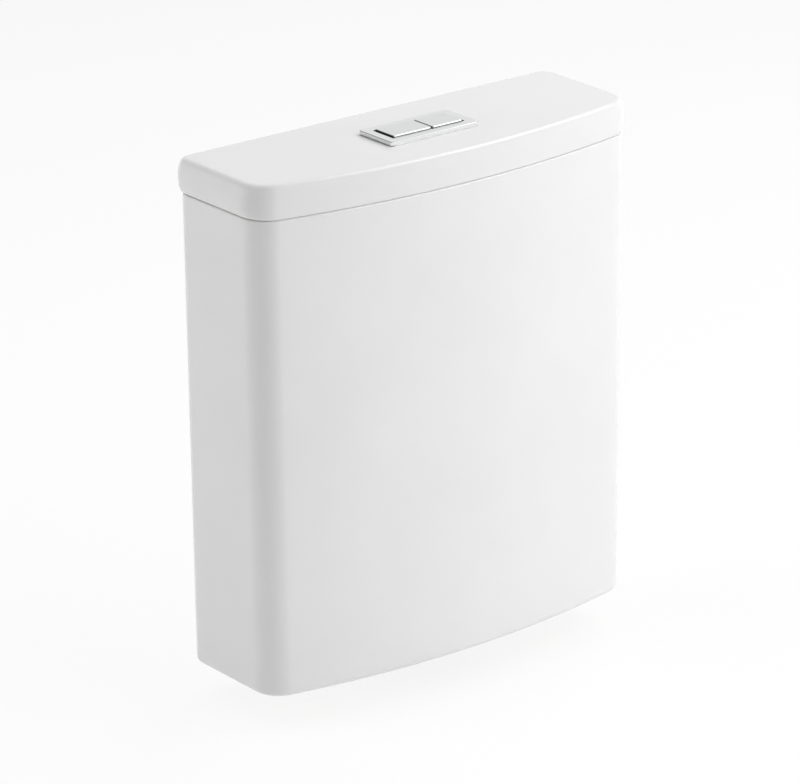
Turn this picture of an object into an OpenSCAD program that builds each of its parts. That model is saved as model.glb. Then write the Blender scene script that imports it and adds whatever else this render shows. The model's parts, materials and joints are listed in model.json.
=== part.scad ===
// Close-coupled toilet cistern with a dual-flush plate in its lid.
// Origin: flush outlet axis at the plane the tank stands on. +Z up, front towards -Y.

/* [Tank] */
// Width across the rim
body_w = 380; // [360:1:440]
// Depth at the middle of the bowed front
body_d = 129.4; // [126:0.2:160]
// Height from the foot to the rim
body_h = 402.8; // [380:0.2:450]
// How far the front bows out past its ends
front_bow = 22.7; // [12:0.1:35]
// How much narrower each side is at the foot
side_draft = 2.7; // [0:0.1:6]
// Plan radius of the front corners
front_corner_r = 25; // [20:0.5:40]
// Plan radius of the back corners
back_corner_r = 13; // [11:0.5:20]
// Radius of the foot's outer edge
foot_edge_r = 6; // [3:0.5:9]
// Radius of the rim's two edges
rim_edge_r = 3; // [1:0.25:4]
// Wall thickness
wall_t = 10; // [8:0.5:12]
// Floor thickness
floor_t = 10; // [8:0.5:14]
// Radius between the walls and the floor, inside
floor_fillet_r = 7; // [3:0.5:9]
// Height of the floor's underside above the foot
foot_recess = 14; // [10:0.5:20]
// Width of the rim that the tank stands on
foot_rim_w = 13; // [11:0.5:15]
// Lean of the recess's wall
recess_draft = 1.5; // [0.5:0.1:3]

/* [Lid] */
// Height of the lid above the rim
lid_h = 28.8; // [24:0.2:40]
// Thickness of the lid's top panel
lid_t = 10; // [8:0.5:12]
// Overhang past the tank at each side
lid_side_over = 2.3; // [0.5:0.1:5]
// Overhang past the tank at the back
lid_back_over = 3.8; // [0.5:0.1:6]
// Plan radius of the lid's front corners
lid_front_corner_r = 26; // [20:0.5:40]
// Plan radius of the lid's back corners
lid_back_corner_r = 15; // [12:0.5:22]
// Radius of the upper edge
lid_top_r = 9; // [4:0.5:12]
// How far the lower edge curves in
lid_low_in = 4.6; // [2:0.1:6]
// Height over which the lower edge curves in
lid_low_h = 10; // [4:0.5:14]
// Drop of the locating lip into the tank
lip_drop = 5.8; // [4:0.2:12]
// Thickness of the locating lip
lip_t = 7; // [5:0.5:10]
// Gap between the lip and the tank's wall
lip_gap = 2; // [1:0.25:4]

/* [Flush plate] */
// Width of the plate
plate_w = 88.7; // [84:0.1:110]
// Depth of the plate
plate_d = 42; // [38:0.5:60]
// Thickness of the plate above its gasket
plate_t = 3.2; // [2:0.1:5]
// Plan radius of the plate's corners
plate_corner_r = 1.6; // [0.5:0.1:6]
// Bevel of the plate's upper edge
plate_bevel = 0.5; // [0.2:0.1:1]
// Centre of the plate, right of the outlet axis
plate_x = 0.5; // [-5:0.1:5]
// Centre of the plate, behind the outlet axis
plate_y = -3; // [-8:0.5:4]
// Thickness of the gasket under the plate
gasket_t = 0.6; // [0.3:0.1:1.5]
// Inset of the gasket from the plate's edge
gasket_in = 1.2; // [0.5:0.1:3]
// Width over both keys
key_span = 70; // [66:0.5:76]
// Width of the full-flush key
full_key_w = 38.5; // [34:0.5:42]
// Depth of the keys
key_d = 24.8; // [22:0.2:28]
// Gap between the two keys
key_mid_gap = 0.8; // [0.4:0.1:1.5]
// Gap at the keys' outer ends
key_end_gap = 1.6; // [0.4:0.1:2.5]
// Gap in front of and behind the keys
key_front_gap = 0.6; // [0.3:0.1:1.5]
// Plan radius of the keys' corners
key_corner_r = 1.5; // [0.5:0.1:3]
// Bevel of the keys' upper edge
key_bevel = 0.6; // [0.2:0.1:1]
// How far the keys stand above the plate
key_proud = 1.3; // [0.5:0.1:3]
// Travel of the keys
key_travel = 7; // [5:0.5:8]
// Wall of the keys
key_wall = 1.6; // [1:0.1:2.5]
// Wall of the well around the keys
well_wall = 1.6; // [1:0.1:2.5]
// Floor of the well
well_floor_t = 2; // [1.5:0.1:3]
// Clearance of the well in the lid's opening
well_gap = 1; // [0.5:0.1:2]
// Distance from the gap between the keys to each stem
stem_off = 7.8; // [7:0.1:9]
// Radius of the keys' stems
stem_r = 3.2; // [2.8:0.1:3.6]
// Running clearance around the stems
stem_gap = 0.1; // [0.05:0.01:0.1]
// Outer radius of the threaded spigot
spigot_r = 14; // [13.6:0.1:16]
// Wall of the threaded spigot
spigot_wall = 2; // [1.5:0.1:2.5]
// Length of the threaded spigot below the lid's panel
spigot_len = 16; // [14:0.5:22]
// Thickness of the clamp plate
clamp_t = 3; // [2:0.5:5]
// Overlap of the clamp plate past the lid's opening
clamp_over = 8; // [5:0.5:12]
// Height of the spigot nut
plate_nut_h = 8; // [6:0.5:10]
// Outer radius of the spigot nut
plate_nut_r = 23; // [20:0.5:28]
// Radius of the push rods
push_rod_r = 2; // [1.5:0.1:2.4]
// Depth of the push rods in the stems
push_rod_grip = 8; // [5:0.5:12]
// Wire diameter of the key springs
spring_wire = 0.8; // [0.6:0.1:0.9]
// Turns of the key springs
spring_turns = 4; // [3:1:5]

/* [Flush valve] */
// Radius of the outlet tail's thread
tail_r = 29.8; // [28:0.1:31]
// Radius of the outlet bore
outlet_r = 26; // [24:0.1:27]
// Radius of the seat's throat
throat_r = 24.5; // [23:0.1:25]
// Length of the tail below the foot plane
tail_drop = 13; // [10:0.5:17]
// Radius of the outlet hole in the tank's floor
outlet_hole_r = 32.5; // [31.5:0.1:34]
// Radius of the base's flange
flange_r = 41; // [38:0.5:44]
// Thickness of the base's flange
flange_t = 4; // [3:0.5:6]
// Height of the seat above the flange
seat_h = 5; // [4:0.5:8]
// Thickness of the floor gaskets
floor_gasket_t = 3; // [2:0.5:5]
// Corner radius of the outlet's locknut
base_nut_r = 38; // [36:0.5:40]
// Height of the outlet's locknut
base_nut_h = 12; // [9:0.5:14]
// Outer radius of the pan seal
pan_seal_r = 47; // [44:0.5:48]
// Drop of the pan seal below the foot plane
pan_seal_drop = 8; // [6:0.5:11]
// Bevel of the pan seal's lower edge
pan_seal_edge = 4; // [2:0.5:6]
// Radius of the overflow riser
riser_r = 14; // [12:0.5:15]
// Wall of the overflow riser
riser_wall = 2; // [1.5:0.1:3]
// Thickness of the flush seal
seal_t = 2.5; // [2:0.25:4]
// Radius of the flush seal
seal_r = 31; // [29:0.5:32]
// Gap between the seal's retainer and the throat
retainer_gap = 3; // [1.5:0.25:5]
// Radius of the riser's float
flush_float_r = 26; // [22:0.5:29]
// Height of the riser's float
flush_float_h = 34; // [24:1:50]
// Bevel of the riser float's edges
flush_float_edge = 3; // [1:0.5:5]
// Radius of the circle that the cage's columns stand on
column_ring_r = 36.5; // [35:0.5:38]
// Radius of the cage's columns
column_r = 3.5; // [2.5:0.25:4]
// Height of the cage's foot ring
cage_foot_h = 6; // [4:0.5:10]
// Thickness of the cage's head plate
head_t = 5; // [4:0.5:8]
// Depth of the levers' pivot below the rim
pivot_drop = 52.8; // [50:0.2:70]
// Distance of the levers' pivot behind the outlet axis
pivot_y = 13; // [11:0.5:15]
// Radius of the levers' pivot pin
pivot_pin_r = 2; // [1.5:0.1:2.5]
// Running clearance in the levers' hubs
pivot_gap = 0.05; // [0.03:0.01:0.1]
// Outer radius of the levers' hubs
hub_r = 5; // [4:0.25:6]
// Width of the levers' arms
lever_w = 7; // [5:0.5:7.5]
// Thickness of the levers' arms
lever_t = 6; // [5:0.25:7]
// Thickness of the cage's ears
ear_t = 3.5; // [3:0.25:5]
// Gap between moving pieces and what they push
push_gap = 0.4; // [0.3:0.05:0.8]
// Height of the pivot above the overflow's edge
overflow_drop = 28; // [26:1:40]
// Radius of the half-flush float
half_float_r = 10; // [8:0.5:10]
// Height of the half-flush float
half_float_h = 40; // [25:1:60]
// Bevel of the half-flush float's edges
half_float_edge = 2; // [1:0.5:4]
// Gap between the half-flush float and the tank's wall
half_float_gap = 2; // [1.5:0.25:4]
// Room above the half-flush float at the top of its lift
half_float_room = 5; // [2:0.5:10]
// Depth of the half-flush rod in its float
half_float_grip = 20; // [10:1:22]
// Room above the riser's float at the top of its lift
flush_float_room = 60; // [20:1:100]
// Thickness of the hooks over the levers' noses
hook_t = 4; // [3:0.5:6]
// Height of the yoke's collar
yoke_h = 6; // [4:0.5:8]
// Wall of the yoke's collar
yoke_wall = 3; // [2:0.25:4]
// Height of the yoke above the head plate
yoke_rest = 4; // [2:0.5:6]

/* [Fill valve] */
// Radius of the inlet thread
inlet_r = 10.48; // [9:0.02:11]
// Radius of the inlet bore
inlet_bore_r = 6.5; // [5:0.1:7]
// Length of the inlet tail below the foot plane
inlet_drop = 28; // [20:0.5:30]
// Radius of the inlet hole in the tank's floor
inlet_hole_r = 13; // [12:0.1:14]
// Radius of the inlet's flange
inlet_flange_r = 17; // [15.5:0.5:20]
// Height of the inlet's locknut
inlet_nut_h = 10; // [7:0.5:12]
// Corner radius of the inlet's locknut
inlet_nut_r = 18; // [16.5:0.5:20]
// Depth and height of the groove between the inlet's thread and its locknut
inlet_relief = 0.8; // [0.5:0.1:1.2]
// Width of the water slots above the inlet's flange
water_slot_w = 6; // [4:0.5:8]
// Height of the water slots
water_slot_h = 8; // [6:0.5:12]
// Radius of the fill riser
fill_riser_r = 11; // [9.5:0.25:12]
// Height of the cones at the riser's flange and under the valve head
fill_cone = 2; // [1:0.25:3]
// Distance of the fill valve behind the outlet axis
fill_y = 14; // [6:0.5:18]
// Gap between the float cup and the tank's side wall
fill_side_gap = 22; // [8:0.5:30]
// Depth of the fill valve's cap below the rim
fill_drop = 71.8; // [60:0.2:90]
// Radius of the valve head
fill_head_r = 17; // [15:0.25:18]
// Height of the valve head's wide part
fill_head_h = 28; // [22:0.5:40]
// Height of the valve head's sleeve
fill_sleeve_h = 10; // [6:0.5:14]
// Wall of the valve head's sleeve
sleeve_wall = 3; // [2:0.25:4]
// Height of the cap
cap_h = 13; // [10:0.5:16]
// Bevel of the cap's upper edge
cap_edge = 3; // [1:0.5:5]
// Thickness of the diaphragm
diaphragm_t = 1.6; // [1:0.1:2.5]
// Depth of the riser tube in the valve head
tube_grip = 14; // [11:0.5:20]
// Thickness of the ears on the valve head
fill_ear_t = 3.4; // [3:0.1:5]
// Radius of the ears' round ends
fill_ear_r = 4; // [3.5:0.25:5]
// Height of the brackets that carry the ears, and of the cap's clearance above them
bracket_h = 8; // [6:0.5:10]
// Radius of the float cup
float_r = 30; // [26:0.5:34]
// Height of the float cup
float_h = 48; // [35:1:60]
// Wall of the float cup
float_wall = 2; // [1.5:0.1:3]
// Bevel of the float cup's upper edge
float_edge = 4; // [2:0.5:6]
// Room between the float cup's highest place and the valve head
float_room = 24; // [5:1:40]
// Running clearance of the float cup
float_gap = 0.4; // [0.3:0.05:0.6]
// Travel of the float cup
float_travel = 10; // [8:0.5:12]
// Distance from the arm's pivot to the float link
arm_len = 30; // [28:0.5:34]
// Thickness of the float arm
arm_t = 4; // [3:0.25:5]
// Width of the float arm
arm_w = 9; // [8:0.5:12]
// Length of the float arm behind its pivot
arm_tail = 13; // [8:0.5:14]
// Radius of the float arm's hub
arm_hub_r = 3.4; // [3:0.1:4]
// Wall of the float arm past its slot
arm_end_t = 2.5; // [2:0.25:4]
// Radius of the arm's pivot pin
arm_pin_r = 1.5; // [1.2:0.1:2]
// Radius of the float link
link_r = 1.6; // [1.2:0.1:2]
// Wall of the boss, the shoulder and the clip around the link
link_wall = 2; // [1.5:0.1:2.5]
// Thickness of the link's shoulder
shoulder_t = 2; // [1.5:0.25:4]
// Height of the clip on the link
clip_h = 6; // [4:0.5:10]
// Length of the link above its clip
link_free = 6; // [3:0.5:12]
// Depth of the link in its boss below the float cup's top, and height of the boss above it
link_grip = 4; // [3:0.5:6]

/* [Pan bolts] */
// Distance between the bolts
bolt_span = 150; // [140:1:160]
// Distance of the bolts behind the outlet axis
bolt_y = 12; // [0:0.5:14]
// Radius of the bolts
bolt_r = 4; // [3.5:0.5:5]
// Radius of the thread's core, which the bolts have from their nuts up
bolt_core_r = 3.4; // [2.6:0.1:3.5]
// Bevel of the bolts' ends
bolt_point = 1; // [0.5:0.1:2]
// Drop of the bolts below the foot plane
bolt_drop = 26; // [20:0.5:28]
// Radius of the bolt holes in the tank's floor
bolt_hole_r = 6; // [5.5:0.25:7]
// Radius of the bolt heads
bolt_head_r = 9; // [8:0.5:11]
// Height of the bolt heads
bolt_head_h = 5; // [4:0.5:7]
// Width of the driver slots
bolt_slot_w = 1.6; // [1:0.1:2.5]
// Outer radius of the rubber seals under the heads
bolt_seal_r = 13; // [11:0.5:15]
// Thickness of the rubber seals under the heads
bolt_seal_t = 4; // [3:0.5:6]
// Outer radius of the steel washers
washer_r = 11; // [9:0.5:13]
// Thickness of the steel washers
washer_t = 1.6; // [1.2:0.1:2.5]
// Height of the hex nuts
hex_h = 6.4; // [5:0.1:8]
// Corner radius of the hex nuts
hex_r = 7.5; // [7:0.1:9]

/* [Hidden] */
$fn = 48;

// Steps of the lofted outlines and of the edge arcs
back_steps = 5;
corner_steps = 10;
front_steps = 24;
edge_steps = 5;
small_steps = 4;
// Overshoot of cutting tools past the faces they cut
cut = 1;
// Smallest plan radius of an inset outline
least_r = 0.6;
// Clearance of nuts, washers and gaskets on their threads
thread_gap = 0.3;
// Clearance between fixed pieces that slip into one another
slip_gap = 0.1;
// Side clearance of hubs between ears, and of ears past what turns or stands between them
hub_gap = 0.3;
ear_gap = 0.5;
// Gap between the levers' noses and the posts
tip_gap = 1;
// Step of the valve cap past the head, and its wall round the diaphragm
cap_over = 1;
cap_wall = 4;
// Bevel of small moulded edges
small_bevel = 0.5;

// Tank
back_y = body_d / 2;
front_y = back_y - body_d;
front_r = (pow(body_w / 2, 2) + pow(front_bow, 2)) / (2 * front_bow);
arc_y = front_y + front_r;
floor_top = foot_recess + floor_t;

// Lid and plate
lid_top = body_h + lid_h;
lid_panel = lid_top - lid_t;
plate_base = lid_top + gasket_t;
plate_top = plate_base + plate_t;
key_top = plate_top + key_proud;
well_top = lid_panel + well_floor_t;
key_foot = well_top + key_travel + push_gap;
window_w = key_span + 2 * key_end_gap;
window_d = key_d + 2 * key_front_gap;
well_w = window_w + 2 * well_wall;
well_d = window_d + 2 * well_wall;
half_key_w = key_span - full_key_w - key_mid_gap;
keys_left = plate_x - key_span / 2;
full_key_x = keys_left + full_key_w / 2;
half_key_x = keys_left + key_span - half_key_w / 2;
split_x = keys_left + full_key_w + key_mid_gap / 2;
full_stem_x = split_x - stem_off;
half_stem_x = split_x + stem_off;
spigot_foot = lid_panel - spigot_len;
stem_foot = spigot_foot - stem_r;
spring_r = stem_r + stem_gap + spring_wire;
spring_foot = well_top + slip_gap + spring_wire / 2;
spring_head = key_top - key_wall - slip_gap - spring_wire / 2;

// Flush valve
flange_z = floor_top + floor_gasket_t;
flange_top = flange_z + flange_t;
seat_z = flange_top + seat_h;
seal_top = seat_z + seal_t;
pivot_z = body_h - pivot_drop;
lever_top = pivot_z + lever_t / 2;
overflow_z = pivot_z - overflow_drop;
head_top = overflow_z - riser_r;
head_z = head_top - head_t;
push_arm = pivot_y - plate_y;
hook_y = back_y - wall_t - half_float_r - half_float_gap;
lift_arm = hook_y - pivot_pin_r - tip_gap - pivot_y;
lift = lift_arm * key_travel / push_arm;
hook_z = lever_top + push_gap;
lever_nose_r = lever_t / 3;
ear_in = max(riser_r + yoke_wall, half_stem_x + lever_w / 2) + ear_gap;
yoke_z = head_top + yoke_rest;
flush_float_z = head_z - lift - flush_float_room - flush_float_h;
half_float_z = head_z - lift - half_float_room - half_float_h;

// Fill valve
fill_x = body_w / 2 - side_draft - wall_t - fill_side_gap - float_r;
cap_top = body_h - fill_drop;
cap_z = cap_top - cap_h;
fill_head_z = cap_z - fill_head_h;
fill_sleeve_z = fill_head_z - fill_sleeve_h;
fill_tube_top = fill_sleeve_z + tube_grip;
float_top = fill_sleeve_z - float_travel - float_room;
float_z = float_top - float_h;
cap_r = fill_head_r + cap_over;
fill_ear_x = cap_r + ear_gap;
link_boss_r = link_r + link_wall;
arm_pivot_y = fill_y - float_r + small_bevel + link_boss_r + arm_len;
link_y = arm_pivot_y - arm_len;
arm_swing = float_travel / arm_len * 180 / PI;
arm_rise = arm_t / 2 / cos(arm_swing);
arm_z = cap_top + arm_tail * sin(arm_swing) + arm_t / 2 * cos(arm_swing) + push_gap;
shoulder_z = arm_z - float_travel + (arm_len - link_boss_r) * tan(arm_swing) - arm_rise - push_gap;
clip_z = arm_z - float_travel + (arm_len + link_boss_r) * tan(arm_swing) + arm_rise + push_gap;

// Pan bolts
hex_top = foot_recess - washer_t;
hex_z = hex_top - hex_h;

// Points of an elliptic arc about c, from angle a to angle b
function arc(c, rx, ry, a, b, n) =
    [for (i = [0 : n]) let (t = a + (b - a) * i / n) [c[0] + rx * cos(t), c[1] + ry * sin(t)]];

// Plan outline with a bowed front: half width hw, back face at by, front arc radius fr about arc_y
function outline(hw, by, fr, rf, rb) =
    let (
        x0 = hw - rf,
        y0 = arc_y - sqrt(pow(fr - rf, 2) - x0 * x0),
        turn = atan2(arc_y - y0, x0),
        bow = arc([0, arc_y], fr, fr, 180 + turn, 360 - turn, front_steps)
    )
    concat(
        arc([hw - rb, by - rb], rb, rb, 0, 90, back_steps),
        arc([rb - hw, by - rb], rb, rb, 90, 180, back_steps),
        arc([-x0, y0], rf, rf, 180, 180 + turn, corner_steps),
        [for (i = [1 : front_steps - 1]) bow[i]],
        arc([x0, y0], rf, rf, 360 - turn, 360, corner_steps)
    );

// Rectangle with round corners, centred on the origin
function rounded(w, d, r) =
    let (x = w / 2 - r, y = d / 2 - r)
    concat(
        arc([x, y], r, r, 0, 90, small_steps),
        arc([-x, y], r, r, 90, 180, small_steps),
        arc([-x, -y], r, r, 180, 270, small_steps),
        arc([x, -y], r, r, 270, 360, small_steps)
    );

function at_height(points, z) = [for (p = points) [p[0], p[1], z]];

// One ring of the tank at a height, set in from its outside
function tank_ring(inset, z) =
    let (hw = body_w / 2 - side_draft * (1 - z / body_h) - inset)
    at_height(outline(hw, back_y - inset, front_r - inset,
        max(front_corner_r - inset, least_r), max(back_corner_r - inset, least_r)), z);

// One ring of the lid at a height, set in from its widest outline
function lid_ring(inset, z) =
    let (hw = body_w / 2 + lid_side_over - inset)
    at_height(outline(hw, back_y + lid_back_over - inset, front_r - inset,
        max(lid_front_corner_r - inset, least_r), max(lid_back_corner_r - inset, least_r)), z);

// Closed solid through a stack of rings with equal point counts, with flat end caps
module loft(rings) {
    n = len(rings[0]);
    last = (len(rings) - 1) * n;
    sides = [
        for (j = [0 : len(rings) - 2]) for (i = [0 : n - 1])
            let (a = j * n + i, b = j * n + (i + 1) % n)
            each [[a, a + n, b + n], [a, b + n, b]]
    ];
    low = [for (i = [0 : n - 1]) i];
    high = [for (i = [n - 1 : -1 : 0]) last + i];
    polyhedron([for (r = rings) each r], concat(sides, [low, high]));
}

// Plate with round corners and a bevelled upper edge
module bevelled(w, d, r, z0, z1, bevel) {
    loft([
        at_height(rounded(w, d, r), z0),
        at_height(rounded(w, d, r), z1 - bevel),
        at_height(rounded(w - 2 * bevel, d - 2 * bevel, r - bevel / 2), z1)
    ]);
}

module ring(r_in, r_out, z0, z1) {
    translate([0, 0, z0])
        difference() {
            cylinder(r = r_out, h = z1 - z0);
            translate([0, 0, -cut]) cylinder(r = r_in, h = z1 - z0 + 2 * cut);
        }
}

module disc(r, z0, z1) {
    translate([0, 0, z0]) cylinder(r = r, h = z1 - z0);
}

module slab(w, d, r, z0, z1) {
    translate([0, 0, z0]) linear_extrude(z1 - z0) polygon(rounded(w, d, r));
}

// Block between two corners
module block(low, high) {
    translate(low) cube(high - low);
}

module nut(corner_r, sides, r_in, z0, z1) {
    translate([0, 0, z0])
        difference() {
            cylinder(r = corner_r, h = z1 - z0, $fn = sides);
            translate([0, 0, -cut]) cylinder(r = r_in, h = z1 - z0 + 2 * cut);
        }
}

module at_bolts() {
    for (side = [-1, 1]) translate([side * bolt_span / 2, bolt_y, 0]) children();
}

module at_fill() {
    translate([fill_x, fill_y, 0]) children();
}

module at_plate() {
    translate([plate_x, plate_y, 0]) children();
}

// Shape drawn in the Y-Z plane, thickened from x0 to x1
module across(x0, x1) {
    translate([x0, 0, 0]) rotate([90, 0, 90]) linear_extrude(x1 - x0) children();
}

module tank_body() {
    foot = [[foot_rim_w + recess_draft, foot_recess], [foot_rim_w, 0]];
    profile = concat(
        foot,
        arc([foot_edge_r, foot_edge_r], foot_edge_r, foot_edge_r, 270, 180, edge_steps),
        arc([rim_edge_r, body_h - rim_edge_r], rim_edge_r, rim_edge_r, 180, 90, edge_steps),
        arc([wall_t - rim_edge_r, body_h - rim_edge_r], rim_edge_r, rim_edge_r, 90, 0, edge_steps),
        arc([wall_t + floor_fillet_r, floor_top + floor_fillet_r], floor_fillet_r, floor_fillet_r,
            180, 270, edge_steps)
    );
    color("white")
        difference() {
            loft([for (p = profile) tank_ring(p[0], p[1])]);
            disc(outlet_hole_r, foot_recess - cut, floor_top + cut);
            at_bolts() disc(bolt_hole_r, foot_recess - cut, floor_top + cut);
            at_fill() disc(inlet_hole_r, foot_recess - cut, floor_top + cut);
        }
}

module tank_lid() {
    lip_out = wall_t + lip_gap;
    lip_in = lip_out + lip_t;
    lip_z = body_h - lip_drop;
    lip = [[lip_in, lid_panel], [lip_in, lip_z], [lip_out, lip_z], [lip_out, body_h]];
    skirt = concat(
        arc([lid_low_in, body_h + lid_low_h], lid_low_in, lid_low_h, 270, 180, edge_steps),
        arc([lid_top_r, lid_top - lid_top_r], lid_top_r, lid_top_r, 180, 90, edge_steps + 1)
    );
    color("white")
        difference() {
            loft(concat([for (p = lip) tank_ring(p[0], p[1])], [for (p = skirt) lid_ring(p[0], p[1])]));
            at_plate() slab(well_w + 2 * well_gap, well_d + 2 * well_gap, key_corner_r + well_gap,
                lid_panel - cut, lid_top + cut);
        }
}

module button_bezel() {
    color("silver")
        difference() {
            union() {
                at_plate() bevelled(plate_w, plate_d, plate_corner_r, plate_base, plate_top, plate_bevel);
                at_plate() slab(well_w, well_d, key_corner_r, lid_panel, plate_base + plate_t / 2);
                translate([split_x, plate_y, 0]) disc(spigot_r, spigot_foot, lid_panel + well_floor_t / 2);
            }
            at_plate() slab(window_w, window_d, key_corner_r / 2, well_top, plate_top + cut);
            translate([split_x, plate_y, 0]) disc(spigot_r - spigot_wall, spigot_foot - cut, lid_panel);
            for (x = [full_stem_x, half_stem_x])
                translate([x, plate_y, 0]) disc(stem_r + stem_gap, lid_panel - cut, well_top + cut);
        }
}

module bezel_gasket() {
    color("dimgray")
        at_plate() difference() {
            slab(plate_w - 2 * gasket_in, plate_d - 2 * gasket_in, plate_corner_r, lid_top, plate_base);
            slab(well_w + well_gap, well_d + well_gap, key_corner_r, lid_top - cut, plate_base + cut);
        }
}

module bezel_clamp() {
    color("whitesmoke")
        difference() {
            at_plate() slab(well_w + 2 * clamp_over, well_d + 2 * clamp_over, clamp_over / 2,
                lid_panel - clamp_t, lid_panel);
            translate([split_x, plate_y, 0])
                disc(spigot_r + thread_gap, lid_panel - clamp_t - cut, lid_panel + cut);
        }
}

// Round nut with four finger wings
module bezel_nut() {
    nut_z = lid_panel - clamp_t - plate_nut_h;
    wing = plate_nut_r - spigot_r;
    color("whitesmoke")
        translate([split_x, plate_y, nut_z]) linear_extrude(plate_nut_h)
            difference() {
                union() {
                    circle(r = spigot_r + wing / 2);
                    for (turn = [45, 135]) rotate(turn) square([2 * plate_nut_r, wing / 2], center = true);
                }
                circle(r = spigot_r + thread_gap);
            }
}

// Hollow key cap with a drilled stem
module key(x, w, stem_x) {
    inner_w = w - 2 * key_wall;
    inner_d = key_d - 2 * key_wall;
    color("lightgray")
        difference() {
            union() {
                difference() {
                    translate([x, plate_y, 0])
                        bevelled(w, key_d, key_corner_r, key_foot, key_top, key_bevel);
                    translate([x, plate_y, 0])
                        slab(inner_w, inner_d, key_corner_r / 2, key_foot - cut, key_top - key_wall);
                }
                translate([stem_x, plate_y, 0]) disc(stem_r, stem_foot, key_top - key_wall / 2);
            }
            translate([stem_x, plate_y, 0])
                disc(push_rod_r + slip_gap, stem_foot - cut, stem_foot + push_rod_grip);
        }
}

module full_flush_key() {
    key(full_key_x, full_key_w, full_stem_x);
}

module half_flush_key() {
    key(half_key_x, half_key_w, half_stem_x);
}

// Threaded rod with a domed tip, held in a key's stem
module push_rod(x) {
    tip_z = lever_top + push_gap;
    dome = arc([0, tip_z + push_rod_r], push_rod_r, push_rod_r, -90, 0, edge_steps);
    rod_top = stem_foot + push_rod_grip;
    color("whitesmoke")
        translate([x, plate_y, 0])
            rotate_extrude() polygon(concat(dome, [[push_rod_r, rod_top], [0, rod_top]]));
}

module full_push_rod() {
    push_rod(full_stem_x);
}

module half_push_rod() {
    push_rod(half_stem_x);
}

// Open coil: one wire swept along a helix
spring_rings = 8;
spring_sides = 6;
spring_n = spring_turns * spring_rings;
spring_path = [
    for (i = [0 : spring_n])
        let (t = 360 * i / spring_rings)
        [spring_r * cos(t), spring_r * sin(t), spring_foot + (spring_head - spring_foot) * i / spring_n]
];
spring_least = min([
    for (i = [0 : spring_n - spring_rings])
        for (j = [i + spring_rings - 1 : min(i + spring_rings + 1, spring_n)])
            norm(spring_path[i] - spring_path[j]) - spring_wire
]);
echo(least_gap_between_spring_turns = spring_least);

module key_spring(x) {
    wire = spring_wire / 2;
    rings = [
        for (i = [0 : spring_n])
            let (t = 360 * i / spring_rings)
            [for (k = [0 : spring_sides - 1])
                let (u = 360 * k / spring_sides, r = spring_r + wire * cos(u))
                [r * cos(t), r * sin(t), spring_path[i][2] + wire * sin(u)]]
    ];
    turned = [for (r = rings) [for (k = [spring_sides - 1 : -1 : 0]) r[k]]];
    color("silver") translate([x, plate_y, 0]) loft(turned);
}

module full_key_spring() {
    key_spring(full_stem_x);
}

module half_key_spring() {
    key_spring(half_stem_x);
}

// Revolved base: tail, flange and raised seat
module valve_base() {
    seat_w = seat_h / 2;
    funnel = outlet_r - throat_r;
    color("whitesmoke")
        rotate_extrude() polygon([
            [outlet_r, -tail_drop], [tail_r, -tail_drop], [tail_r, flange_z], [flange_r, flange_z],
            [flange_r, flange_top], [throat_r + 2 * seat_w, flange_top],
            [throat_r + seat_w + small_bevel, seat_z], [throat_r + small_bevel, seat_z],
            [throat_r, seat_z - small_bevel], [throat_r, foot_recess], [outlet_r, foot_recess - funnel]
        ]);
}

module base_gasket() {
    color("dimgray") ring(tail_r + thread_gap, flange_r, floor_top, flange_z);
}

module base_locknut() {
    color("whitesmoke") nut(base_nut_r, 8, tail_r + thread_gap, foot_recess - base_nut_h, foot_recess);
}

// Foam ring pushed over the tail and the locknut
module pan_seal() {
    bore = tail_r + thread_gap;
    nut_room = base_nut_r + thread_gap;
    nut_z = foot_recess - base_nut_h - thread_gap;
    color("dimgray")
        rotate_extrude() polygon([
            [bore, -pan_seal_drop], [pan_seal_r - pan_seal_edge, -pan_seal_drop],
            [pan_seal_r, pan_seal_edge - pan_seal_drop], [pan_seal_r, foot_recess],
            [nut_room, foot_recess], [nut_room, nut_z], [bore, nut_z]
        ]);
}

// Foot ring, columns, stiffening ring, head plate and the ears that carry the levers
module valve_cage() {
    ear_w = 2 * hub_r;
    out_r = column_ring_r + column_r;
    mid_z = (flange_top + head_z) / 2;
    rod_hole_r = pivot_pin_r + slip_gap;
    color("whitesmoke")
        difference() {
            union() {
                ring(column_ring_r - column_r, out_r, flange_top, flange_top + cage_foot_h);
                ring(column_ring_r - column_r / 2, column_ring_r + column_r / 2, mid_z, mid_z + cage_foot_h);
                for (turn = [45 : 90 : 315])
                    rotate(turn) translate([column_ring_r, 0, 0])
                        disc(column_r, flange_top + cage_foot_h / 2, head_top - head_t / 2);
                disc(out_r, head_z, head_top);
                block([half_stem_x - lever_w, 0, head_z], [half_stem_x + lever_w, hook_y, head_top]);
                translate([half_stem_x, hook_y, 0]) disc(lever_w, head_z, head_top);
                for (x = [-ear_in - ear_t, ear_in])
                    across(x, x + ear_t) {
                        translate([pivot_y - hub_r, head_top - cut])
                            square([ear_w, pivot_z - head_top + cut]);
                        translate([pivot_y, pivot_z]) circle(r = hub_r);
                    }
            }
            disc(riser_r + float_gap, head_z - cut, head_top + cut);
            translate([half_stem_x, hook_y, 0]) disc(rod_hole_r, head_z - cut, head_top + cut);
            translate([-ear_in - ear_t - cut, pivot_y, pivot_z]) rotate([0, 90, 0])
                cylinder(r = pivot_pin_r + pivot_gap, h = 2 * (ear_in + ear_t + cut));
        }
}

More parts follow.
